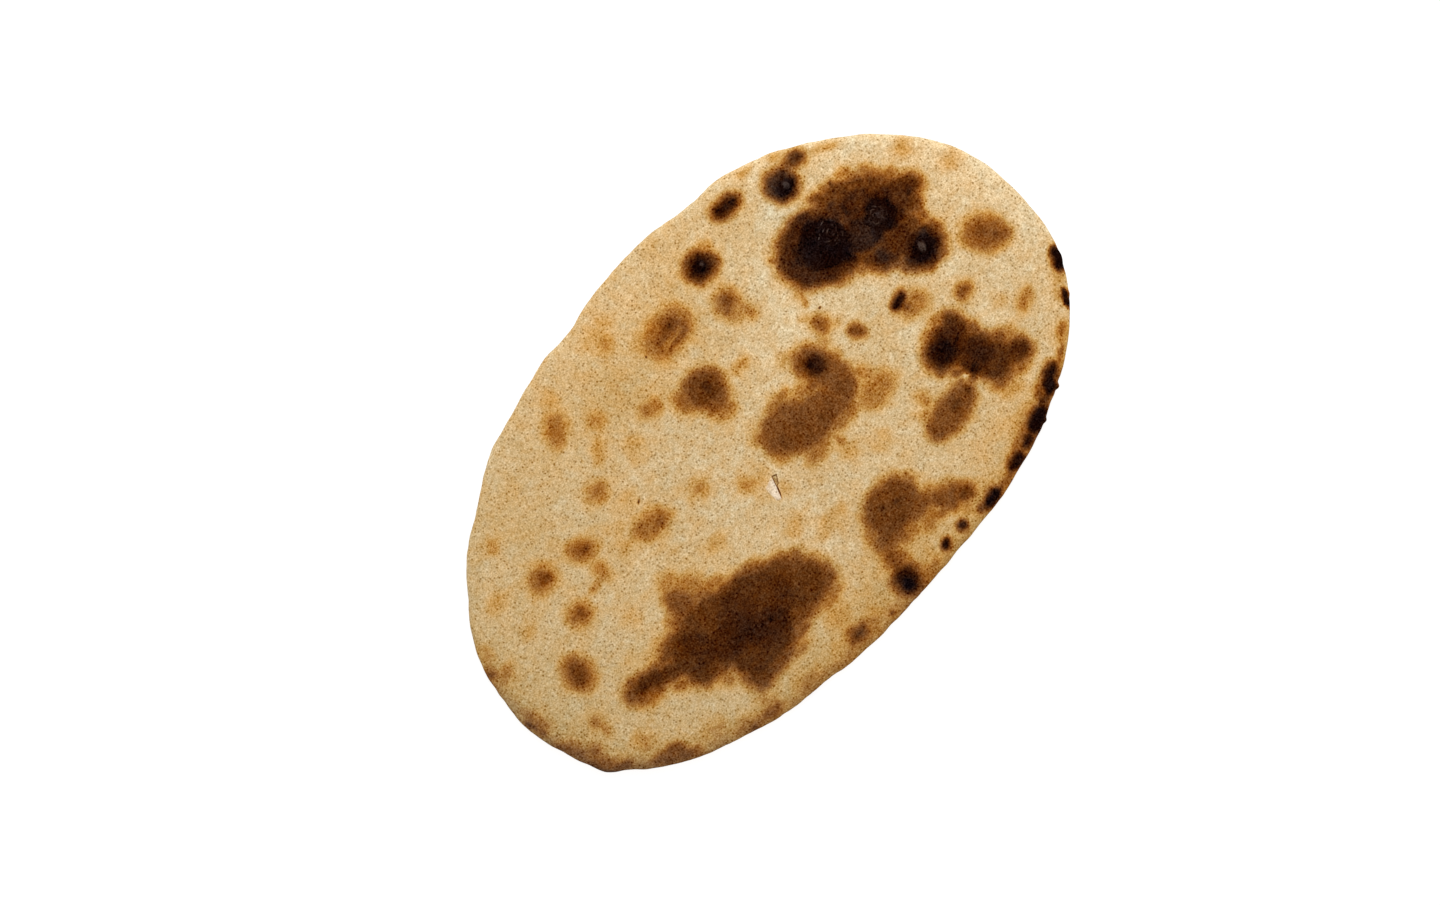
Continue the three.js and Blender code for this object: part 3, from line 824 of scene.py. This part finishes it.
marks_under = []
for _ in range(MARKS_UNDER):
    size = LEAST_MARK + MARK_RANGE * draw.uniform() ** RARITY[0]
    marks_under.append((*somewhere(), size * draw.uniform(*MARK_STRETCH), size, draw.uniform(0, 180),
                        draw.uniform(*MARK_HEAT) + HOT_MARK * draw.uniform() ** RARITY[1]))
brown_under = scorched(bent_x, bent_y, marks_under)
under = 1 - smooth(level, 0, UNDERSIDE_TOP)
sunk = SWELL_DEPTH + SWELL_DEPTH * noise_at(body, SWELL_LENGTH, SWELL_SEED)
for _ in range(PITS_UNDER):
    pit = dome(x, y, *somewhere(), draw.uniform(*PIT_RADIUS), draw.uniform(*PIT_SHARES) * PIT_DEPTH)
    sunk += pit
relief = relief * (1 - under) - np.abs(sunk) * under
browning = brown_top * on_top + brown_under * (1 - on_top)
print("the underside is browned by", brown_under[level < 0.01].mean().round(2), "on average")

# %% [markdown]
# ## Move the skin, and stay in the box
#
# The relief moves each vertex along its normal. The solid's box is the bread's true size, so the
# highest blisters are eased under its top, and the plan is pressed into its sides, by a fraction
# of a millimetre.

# %% Apply the relief
CEILING_EASE = 0.8

skin = body + outward * relief[:, None]
high = np.array(cad_box[1]) / MM
for axis in (0, 1):
    skin[:, axis] *= min(1, high[axis] / np.abs(skin[:, axis]).max())
skin[:, 2] -= skin[:, 2].min()
ease_from = high[2] - CEILING_EASE
above = np.maximum(skin[:, 2] - ease_from, 0)
skin[:, 2] = np.minimum(skin[:, 2], ease_from) + CEILING_EASE * np.tanh(above / CEILING_EASE)
write(bread_mesh.vertices, "co", skin * MM)
bread_mesh.update()
print("the bread measures", (skin.max(0) - skin.min(0)).round(2), "mm")

# %% [markdown]
# ## Warm and cool browns
#
# Two places of one darkness aren't one colour. Round a faint mark the crust is a warm ochre, because
# its sugars are browning there, and far from any mark it is a cooler, floury tan. So each place
# gets a warmth as well as a heat: it says how far red stands above blue, in steps of 1/255.

# %% How warm the crust is
BASE_WARMTH = -2.5
FAINT_WARMTH, DARK_WARMTH = 11.5, 4.5  # round faint marks and round dark ones
FAINTEST_DARK = 0.56  # the heat from which a mark is a dark one
DARK_HOLD = 4  # the power that keeps the faint marks' warmth near the dark ones
HALO = (-1, 6)  # millimetres outside a mark, where its warmth starts to fade and where it ends
WARMED = [
    # x, y, half length, half width, tilt in degrees, warmth
    (-133, -15, 26, 40, 0, -10), (-72, -66, 50, 16, -10, -8), (8, 76, 60, 16, 0, 8),
    (132, 20, 22, 40, 0, 9), (-95, 10, 40, 50, 0, -3), (60, -67, 24, 7, 8, 9),
    (0, 45, 8, 6, 0, 7), (-20, -66, 16, 5, 0, 5), (74, 52, 8, 6, 0, -12),
    (-92.4, 10, 4.5, 4, 0, 18), (-111, -4, 5, 5, 0, 14), (-91.3, 29.4, 4.5, 4, 0, 16),
    (-73, 25.3, 4.5, 4, 0, 18), (-96, -27, 9, 6, -16, 8), (96, 42, 6, 5, 0, 8),
]
WARMED_RIM = [
    # where round the rim and how far, in degrees, then warmth, and width in millimetres
    (200, 42, -24, 6), (315, 12, 8, 5),
]


def halo(x, y, marks):
    """1 inside the marks, fading to 0 some millimetres outside them."""
    nearest = np.minimum.reduce([outside(x, y, *place) for *place, _ in marks])
    return 1 - smooth(nearest, *HALO)


faint_marks = [mark for mark in MARKS_TOP if mark[-1] < FAINTEST_DARK]
dark_marks = [mark for mark in MARKS_TOP if mark[-1] >= FAINTEST_DARK]
by_dark = halo(bent_x, bent_y, dark_marks)
warmth = BASE_WARMTH + bells(x, y, WARMED) + along_rim(WARMED_RIM) + DARK_WARMTH * by_dark
by_faint = halo(bent_x, bent_y, faint_marks) * (1 - by_dark ** DARK_HOLD)
warmth += (FAINT_WARMTH - DARK_WARMTH * by_dark) * by_faint
print("warmth runs from", warmth.min().round(1), "to", warmth.max().round(1))

# %% [markdown]
# ## What the material needs to know
#
# The crust's colour follows places that only the mesh knows, so they are stored on its vertices:
# how brown and how warm the skin is, where the pale inner face of the torn skin shows, and where
# the char is greyed. On the ridges of the wrinkles that grey is a painted highlight, on the hard
# cores it is ash with a painted highlight, and over the hottest char it is a bloom of ash with a
# painted sheen.

# %% The groove's painted shade and the lip's colour
PALE_LIP, PALER_TIP, TIP_FROM = 0.5, 0.4, 0.6  # the lip is palest from this share of the slit on
LIP_PATCHES, LIP_PATCH_LENGTH, LIP_SEED = 0.3, 2.6, 51
WINDOW_RIM_SHADOW_REACH = (0.2, 0.6)  # millimetres into the groove, over which the painted shadow round the window's rim fades
# The groove is painted darker and cooler as shade: its window as crumb in shade with a painted shadow
# round its rim, and its narrow end dark, partly as shade and partly as browning
WINDOW_SHADE_HEAT, WINDOW_RIM_SHADOW_HEAT, NARROW_SHADE_HEAT = 0.22, 0.50, 0.58
WINDOW_SHADE_WARMTH, NARROW_SHADE_WARMTH = -20, -8
FLAKE_WARMTH = -18

crumb = PALE_LIP + PALER_TIP * smooth(run, 0, TIP_FROM)
crumb = in_lip * (crumb + LIP_PATCHES * noise_at(body, LIP_PATCH_LENGTH, LIP_SEED))
window_rim_shadow = 1 - smooth(into_groove, *WINDOW_RIM_SHADOW_REACH)
narrow = smooth(run, WINDOW_END + WINDOW_FADE, WINDOW_END + 2 * WINDOW_FADE)
groove_shade_heat = WINDOW_SHADE_HEAT + (WINDOW_RIM_SHADOW_HEAT - WINDOW_SHADE_HEAT) * window_rim_shadow
groove_shade_heat += (NARROW_SHADE_HEAT - groove_shade_heat) * narrow
groove_shade_warmth = WINDOW_SHADE_WARMTH + (NARROW_SHADE_WARMTH - WINDOW_SHADE_WARMTH) * narrow
in_groove *= level > TOP_SKIN
browning += (groove_shade_heat - browning) * in_groove
warmth += (groove_shade_warmth - warmth) * in_groove
warmth += FLAKE_WARMTH * np.minimum(sum(flakes), 1)
print("the groove's heat is up to", groove_shade_heat[in_groove > 0.5].max().round(2))

# %% Store browning, warmth, crumb, and the ash with its painted highlight and sheen
CORE_ASH_AND_HIGHLIGHT = [0.47, 0.37, 0.16, 0.45]  # of each burst blister's core: ash with a painted highlight
# A bloom of ash with a painted sheen over the hottest char
ASH_AND_SHEEN_BLOOM = [
    # x, y, half length, half width, tilt in degrees, share of ash and painted sheen
    (65, 31, 5, 7, 0, 0.12), (89.5, 19, 6.5, 7, 0, 0.16), (86.2, 9.4, 4, 3.2, 0, 0.14),
    (89, 33, 4, 6, 0, 0.08), (82.4, 60.6, 3.6, 2, 15, 0.21), (79, 57, 1.9, 2.8, 0, 0.22),
    (87.6, 58, 2.4, 2.2, 0, 0.20), (103.4, 4, 2.2, 1.8, 0, 0.16), (91, 0, 2.6, 3.6, 0, 0.14),
    (97, 21.5, 3.6, 3.6, 0, 0.05), (91, -71, 2, 1.4, 25, 0.08),
]
HIGHLIGHT_ON_RIDGES = (0.04, 0.55)  # the ridge heights where the painted highlight starts and is full
CORE_GREY_SLOPE, CORE_GREY_EVENNESS = 0.8, 2  # as a flake's, on the cores
COLOUR_STEPS = 255

ash_and_sheen = np.clip((ridges - HIGHLIGHT_ON_RIDGES[0]) / (HIGHLIGHT_ON_RIDGES[1] - HIGHLIGHT_ON_RIDGES[0]), 0, 1)
for share, (at_x, at_y, tilt, *_, long, wide, _) in zip(CORE_ASH_AND_HIGHLIGHT, BURST):
    core = lump(oval(crooked_x, crooked_y, at_x, at_y, long, wide, tilt) * CORE_GREY_SLOPE)
    ash_and_sheen = np.maximum(ash_and_sheen, share * np.minimum(CORE_GREY_EVENNESS * core, 1))
ash_and_sheen = np.clip(ash_and_sheen + bells(bent_x, bent_y, ASH_AND_SHEEN_BLOOM), 0, 1)
for name, values in (("browning", browning), ("crumb", crumb * on_top), ("ash_and_sheen", ash_and_sheen * on_top),
                     ("warmth", warmth * on_top / COLOUR_STEPS)):
    stored = bread_mesh.attributes.new(name, "FLOAT", "POINT")
    write(stored.data, "value", values)
    print(name, "reaches", values.max().round(2))

# %% [markdown]
# ## The UV map
#
# The body has two skins that lie over each other in plan, so a plan view alone would put the
# underside's colours on the top. It is unwrapped as two flat islands, top and underside, that are
# cut apart halfway up the rim. The rim's own depth is laid out beyond each island's edge.

# %% Unwrap the two skins
UV_NAME = "OFBake"
UV_SPAN = 372.0  # millimetres across the whole map
RIM_ARC = 6.4  # from a skin's edge to halfway up the rim


def unwrap(mesh):
    """Lays the top skin over the underside's mirror image, and gives the corners' places."""
    reach = np.hypot(disc[:, 0], disc[:, 1])
    inner = placed(disc / np.maximum(reach, 1)[:, None])[:, :2] - PLAN_SHIFT
    direction = square_to_rim(np.arctan2(disc[:, 1], disc[:, 0]))
    corner = np.array([loop.vertex_index for loop in mesh.loops])
    sides = [len(face.vertices) for face in mesh.polygons]
    face_of = np.repeat(np.arange(len(sides)), sides)
    middle_level = np.bincount(face_of, level[corner]) / sides
    top_face = (middle_level > 0.5)[face_of]
    turned = np.clip(np.where(top_face, 1 - level[corner], level[corner]), 0, 1)
    arc = RIM_ARC * np.arccos(1 - 2 * turned) / (np.pi / 2)
    arc = np.where(reach[corner] > 1 + HAIR, arc, 0)
    flat = inner[corner] + direction[corner] * arc[:, None]
    flat[:, 1] *= np.where(top_face, 1, -1)
    flat += UV_SPAN * np.column_stack([np.full(len(corner), 0.5), np.where(top_face, 0.75, 0.25)])
    write(mesh.uv_layers.new(name=UV_NAME).uv, "vector", flat / UV_SPAN)
    return flat / UV_SPAN


uv = unwrap(bread_mesh)
print("the UV map runs from", uv.min(0).round(3), "to", uv.max(0).round(3))

# %% [markdown]
# ## The piece
#
# The mesh becomes an object at the origin. It rides on the bread's one body, and it takes the place
# of the plain solid.

# %% Make the piece
def stand(name, data):
    """A new object in the scene, at the origin."""
    thing = bpy.data.objects.new(name, data)
    bpy.context.scene.collection.objects.link(thing)
    return thing


bread = stand("tandoor_bread", bread_mesh)
bread_mesh.polygons.foreach_set("use_smooth", np.ones(len(bread_mesh.polygons), bool))
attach(bread, "root")
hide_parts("bread")
triangles = sum(len(face.vertices) - 2 for face in bread_mesh.polygons)
print("the bread has", triangles, "triangles")

# %% [markdown]
# ## The crust
#
# Wholemeal crust is matte. Its colour is three things laid over each other: the browning, which
# runs from tan through ochre and chestnut to black, the mottling of the dough, and flecks of bran
# about 0.7 mm wide. One ramp holds the browning's colours, so that a faint mark and the edge of a
# dark one turn the same ochre, as they do on the real crust.

# %% Helpers for colours and nodes
def linear(code):
    """An sRGB hex colour as the linear values that a shader takes."""
    parts = [int(code[i:i + 2], 16) / 255 for i in (1, 3, 5)]
    return [c / 12.92 if c <= 0.04045 else ((c + 0.055) / 1.055) ** 2.4 for c in parts] + [1]


def feed(tree, node, inputs):
    """Gives a node its inputs, which are values, or sockets of other nodes to link."""
    for name, value in inputs.items():
        if isinstance(value, bpy.types.NodeSocket):
            tree.links.new(value, node.inputs[name])
        else:
            node.inputs[name].default_value = value


def add(tree, kind, inputs, **settings):
    """Adds a node with its settings and inputs."""
    node = tree.nodes.new("ShaderNode" + kind)
    for name, value in settings.items():
        setattr(node, name, value)
    feed(tree, node, inputs)
    return node


def new_material(name):
    """A material of this name, with its node tree and its shader."""
    material = bpy.data.materials.new(name)
    material.use_nodes = True
    return material, material.node_tree, material.node_tree.nodes["Principled BSDF"]


print("white is", linear("#ffffff"))

# %% The crust's colours
PALEST = -0.1
BROWNING_COLOURS = [
    # heat, colour: from floury tan through straw, ochre, toffee and chestnut to char
    (PALEST, "#e1cba3"), (0.0, "#d2b484"), (0.1, "#caa56b"), (0.2, "#c09554"), (0.3, "#b07e40"),
    (0.4, "#9d682f"), (0.5, "#895424"), (0.6, "#74441c"), (0.7, "#5c3210"), (0.8, "#43200a"),
    (0.9, "#2a1105"), (1.0, "#110403"),
]
INNER_SKIN = "#ebdac3"
# The grey of ash, and of the highlight and sheen painted on char
ASH_AND_SHEEN_GREY = "#786b61"
print(len(BROWNING_COLOURS), "colours from pale to char")

# %% Sizes and strengths of the crust's patterns
# Sizes in millimetres: fine grain, grit, mottling, broad patches, and the veil of warmer and cooler
# colour. Flour is ground to about 0.2 mm, which is too fine to show, so its grain is drawn at three
# times that. Bran lies one fleck to a cell.
GRAIN_MM, GRIT_MM, MOTTLE_MM, PATCH_MM, VEIL_MM = 0.6, 1.2, 3.4, 20, 7
BRAN_CELL_MM = 1.2
BUMP_MM = 0.25

# How strongly each moves the heat, by which the ramp is read.
BITE, MOTTLING, CLOUDING = 0.2, 0.25, 0.2
PALE_BITE = {"From Min": 0.05, "From Max": 0.3, "To Min": 0.2, "To Max": 1}

# How strongly each shades the colour, in the even steps that the eye sees.
VEILING, GRAIN_SHADE, GRIT_SHADE = 0.16, 0.285, 0.05
BRAN_DEPTH, BRAN_OFFSET = 0.3, 0.015
BRAN_EDGE = (0.1, 0.45)  # from a fleck's middle, as shares of its cell
DISPLAY_GAMMA = 2.2
SPECKLE_TINT = (0.87, 0.96, 1.0)
WARM_TINT = (0.33, -0.20, -0.67)
DARKEST = (0.03, 0.012, 0.008)

# Char keeps this much of the mottling and of the grain, which fade over these heats.
CHAR_MOTTLE, CHAR_GRAIN = 0.36, 0.62
CHARRING = {"From Min": 0.3, "From Max": 0.8, "To Min": 1}

MIX_A, MIX_B, MIX_RESULT = 6, 7, 2  # the sockets of a Mix node that mixes colours
print("bran lies", BRAN_CELL_MM, "mm apart, and the finest grain is", GRAIN_MM, "mm wide")


def per_metre(millimetres):
    """The scale of a pattern that repeats once in this many millimetres."""
    return 1 / (millimetres * MM)


# %% The wholemeal crust
# Wholemeal crust: dough with coarse bran, baked dry on hot clay, so it is matte and grainy all over.
# Baked starch has an IOR near 1.5, but a dry, floury skin scatters its gloss, so hardly any shows.
crust, tree, shader = new_material("wholemeal crust")
feed(tree, shader, {"IOR": 1.45, "Specular IOR Level": 0.008, "Diffuse Roughness": 0.3})

place = add(tree, "TexCoord", {}).outputs["Object"]
brown, warm, pale, ash_and_sheen_share = [add(tree, "Attribute", {}, attribute_name=name).outputs["Fac"]
                            for name in ("browning", "warmth", "crumb", "ash_and_sheen")]
grain, grit, mottle, patch, veil = [
    add(tree, "TexNoise", {"Vector": place, "Scale": per_metre(size), "Detail": detail,
                           "Roughness": 0.6}).outputs["Fac"]
    for size, detail in ((GRAIN_MM, 0), (GRIT_MM, 1), (MOTTLE_MM, 2), (PATCH_MM, 2), (VEIL_MM, 2))]
bran_cells = add(tree, "TexVoronoi", {"Vector": place, "Scale": per_metre(BRAN_CELL_MM)})
print("the crust's patterns take", len(tree.nodes), "nodes")

# %% From heat to colour
# Heat bites unevenly into the grain, more where the skin has browned, and the pale crust between
# the marks is mottled too. A noise lies between 0 and 1, so half its strength is taken off.
grain_bite = add(tree, "Math", {0: grit, 1: -BITE, 2: BITE / 2}, operation="MULTIPLY_ADD")
bite_here = add(tree, "MapRange", {"Value": brown, **PALE_BITE})
heat = add(tree, "Math", {0: grain_bite.outputs[0], 1: bite_here.outputs["Result"], 2: brown},
           operation="MULTIPLY_ADD")
mottling = add(tree, "Math", {0: mottle, 1: MOTTLING, 2: -(MOTTLING + CLOUDING) / 2},
               operation="MULTIPLY_ADD")
clouding = add(tree, "Math", {0: patch, 1: CLOUDING, 2: mottling.outputs[0]},
               operation="MULTIPLY_ADD")
evenness = add(tree, "MapRange", {"Value": brown, **CHARRING, "To Max": CHAR_MOTTLE})
heat = add(tree, "Math", {0: clouding.outputs[0], 1: evenness.outputs["Result"],
                          2: heat.outputs[0]}, operation="MULTIPLY_ADD")
along_ramp = add(tree, "Math", {0: heat.outputs[0], 1: 1 / (1 - PALEST), 2: -PALEST / (1 - PALEST)},
                 operation="MULTIPLY_ADD")
ramp = add(tree, "ValToRGB", {"Fac": along_ramp.outputs[0]})
for stop, (at_heat, code) in enumerate(BROWNING_COLOURS):
    points = ramp.color_ramp.elements
    position = (at_heat - PALEST) / (1 - PALEST)
    point = points[stop] if stop < 2 else points.new(position)
    point.position, point.color = position, linear(code)

with_crumb = add(tree, "Mix", {0: pale, MIX_A: ramp.outputs["Color"], MIX_B: linear(INNER_SKIN)},
                 data_type="RGBA").outputs[MIX_RESULT]
print("the ramp has", len(ramp.color_ramp.elements), "stops")

# %% Ash and painted sheen, warmth, bran and grain
# A little ash and painted sheen on black shows as much as the grain does, and the grain is as
# strong to the eye on char as on dough. So both are added in the even steps that the eye sees: the
# colour is taken to those steps, changed, and brought back. Bran is a dark fleck in the middle of
# each cell, some darker than others.
in_steps = add(tree, "Gamma", {"Color": with_crumb, "Gamma": 1 / DISPLAY_GAMMA}).outputs["Color"]
ash_and_sheen_in_steps = [part ** (1 / DISPLAY_GAMMA) for part in linear(ASH_AND_SHEEN_GREY)]
with_ash_and_sheen = add(tree, "Mix", {0: ash_and_sheen_share, MIX_A: in_steps, MIX_B: ash_and_sheen_in_steps},
               data_type="RGBA").outputs[MIX_RESULT]
veiled = add(tree, "Math", {0: veil, 1: VEILING, 2: warm}, operation="MULTIPLY_ADD")
veiled = add(tree, "Math", {0: veiled.outputs[0], 1: VEILING / 2}, operation="SUBTRACT")
warmed = add(tree, "VectorMath", {0: veiled.outputs[0], 1: WARM_TINT, 2: with_ash_and_sheen},
             operation="MULTIPLY_ADD").outputs[0]
bran = add(tree, "MapRange", {"Value": bran_cells.outputs["Distance"], "To Max": 0,
                              "From Min": BRAN_EDGE[0], "From Max": BRAN_EDGE[1],
                              "To Min": -BRAN_DEPTH})
bran_shade = add(tree, "SeparateColor", {"Color": bran_cells.outputs["Color"]}).outputs["Red"]
fine_shade = add(tree, "Math", {0: grain, 1: GRAIN_SHADE, 2: -(GRAIN_SHADE + GRIT_SHADE) / 2},
                 operation="MULTIPLY_ADD")
coarse_shade = add(tree, "Math", {0: grit, 1: GRIT_SHADE, 2: fine_shade.outputs[0]},
                   operation="MULTIPLY_ADD")
speckle = add(tree, "Math", {0: bran.outputs["Result"], 1: bran_shade, 2: coarse_shade.outputs[0]},
              operation="MULTIPLY_ADD")
less_on_char = add(tree, "MapRange", {"Value": brown, **CHARRING, "To Max": CHAR_GRAIN})
speckle = add(tree, "Math", {0: speckle.outputs[0], 1: less_on_char.outputs["Result"],
                             2: BRAN_OFFSET}, operation="MULTIPLY_ADD")
shifted = add(tree, "VectorMath", {0: speckle.outputs[0], 1: SPECKLE_TINT, 2: warmed},
              operation="MULTIPLY_ADD").outputs[0]
floored = add(tree, "VectorMath", {0: shifted, 1: DARKEST}, operation="MAXIMUM").outputs[0]
colour = add(tree, "Gamma", {"Color": floored, "Gamma": DISPLAY_GAMMA})
print("the crust's colour takes", len(tree.nodes), "nodes")

# %% Roughness and bump
# Char is a little smoother than dough, and both are rough to the touch.
roughness = add(tree, "MapRange", {"Value": brown, "From Min": 0.5, "From Max": 1,
                                   "To Min": 0.9, "To Max": 0.6})
height = add(tree, "Math", {0: grit, 1: mottle}, operation="ADD")
bump = add(tree, "Bump", {"Height": height.outputs[0], "Strength": 0.5, "Distance": BUMP_MM * MM})
feed(tree, shader, {"Base Color": colour.outputs["Color"], "Roughness": roughness.outputs["Result"],
                    "Normal": bump.outputs["Normal"]})

bread_mesh.materials.append(crust)
print("the crust has", len(tree.nodes), "nodes")

# %% [markdown]
# ## The stage
#
# The bread lies on a plain white floor that is lit from below, as on a light table, so that it
# stays white under the bread's edge. Each light is named by the share it gives of the light on the
# floor, and its power is worked out from that and its distance. Sizes here are in metres.

# %% The floor
FLOOR_HALF = 2.5
FLOOR_DROP = 0.0002  # just clear of the bread's flat underside
WHITE = linear("#ffffff")

floor_bm = bmesh.new()
bmesh.ops.create_grid(floor_bm, x_segments=1, y_segments=1, size=FLOOR_HALF)
bmesh.ops.translate(floor_bm, verts=floor_bm.verts, vec=(0, 0, -FLOOR_DROP))
floor_mesh = bpy.data.meshes.new("floor")
floor_bm.to_mesh(floor_mesh)
floor_bm.free()
stand("floor", floor_mesh)

# Opal acrylic, cast with a matt face: most of its white is light that comes through it from below,
# so its own colour is a mid grey, and the bread's shadow on it is faint.
acrylic, acrylic_tree, acrylic_shader = new_material("opal acrylic")
feed(acrylic_tree, acrylic_shader, {
    "Base Color": linear("#8a8a8a"), "Roughness": 0.9, "Specular IOR Level": 0.1,
    "Emission Color": WHITE, "Emission Strength": 0.85})
floor_mesh.materials.append(acrylic)
print("the floor is", 2 * FLOOR_HALF, "m wide")

# %% The lights
LIGHTS = [
    # name, share of the light on the floor, size, distance, azimuth and elevation in degrees
    ("key", 0.5, 0.6, 1.3, 40, 50), ("softbox", 0.35, 1.6, 2.0, 0, 90),
]
WORLD_SHARE = 0.3


def add_light(name, share, size, distance, azimuth, elevation):
    """A square soft light that gives this share of the light on the floor."""
    light = bpy.data.lights.new(name, "AREA")
    light.size = size
    tilt, turn = math.radians(elevation), math.radians(azimuth)
    light.energy = share * math.pi ** 2 * distance ** 2 / math.sin(tilt)
    aim = Vector((math.cos(turn) * math.cos(tilt), math.sin(turn) * math.cos(tilt), math.sin(tilt)))
    lamp = stand(name, light)
    lamp.location = aim * distance
    lamp.rotation_euler = aim.to_track_quat("Z", "Y").to_euler()
    return light.energy


for name, *settings in LIGHTS:
    power = add_light(name, *settings)
    print("the", name, "light has", round(power, 1), "watts")
world = bpy.data.worlds.new("studio")
world.use_nodes = True
feed(world.node_tree, world.node_tree.nodes["Background"], {"Color": WHITE, "Strength": WORLD_SHARE})
bpy.context.scene.world = world
bpy.context.scene.view_settings.view_transform = "Standard"

# %% [markdown]
# ## The camera
#
# It looks straight down, turned so that the bread's long axis runs up to the right.

# %% Camera
LENS, SENSOR = 85, 36
VIEW_WIDTH = 553.9
VIEW_MIDDLE = (-10.9, 9.0)
LONG_AXIS_TURN = 50
MID_HEIGHT = 3  # of the bread, where the view is as wide as that
FARTHEST = 10  # metres

camera = stand("camera", bpy.data.cameras.new("camera"))
camera.data.lens = LENS
camera.data.sensor_width = SENSOR
camera.data.clip_end = FARTHEST
distance = VIEW_WIDTH * LENS / SENSOR + MID_HEIGHT
camera.location = (VIEW_MIDDLE[0] * MM, VIEW_MIDDLE[1] * MM, distance * MM)
camera.rotation_euler = (0, 0, -math.radians(LONG_AXIS_TURN))
bpy.context.scene.camera = camera
print("the camera is", round(distance), "mm above the floor")
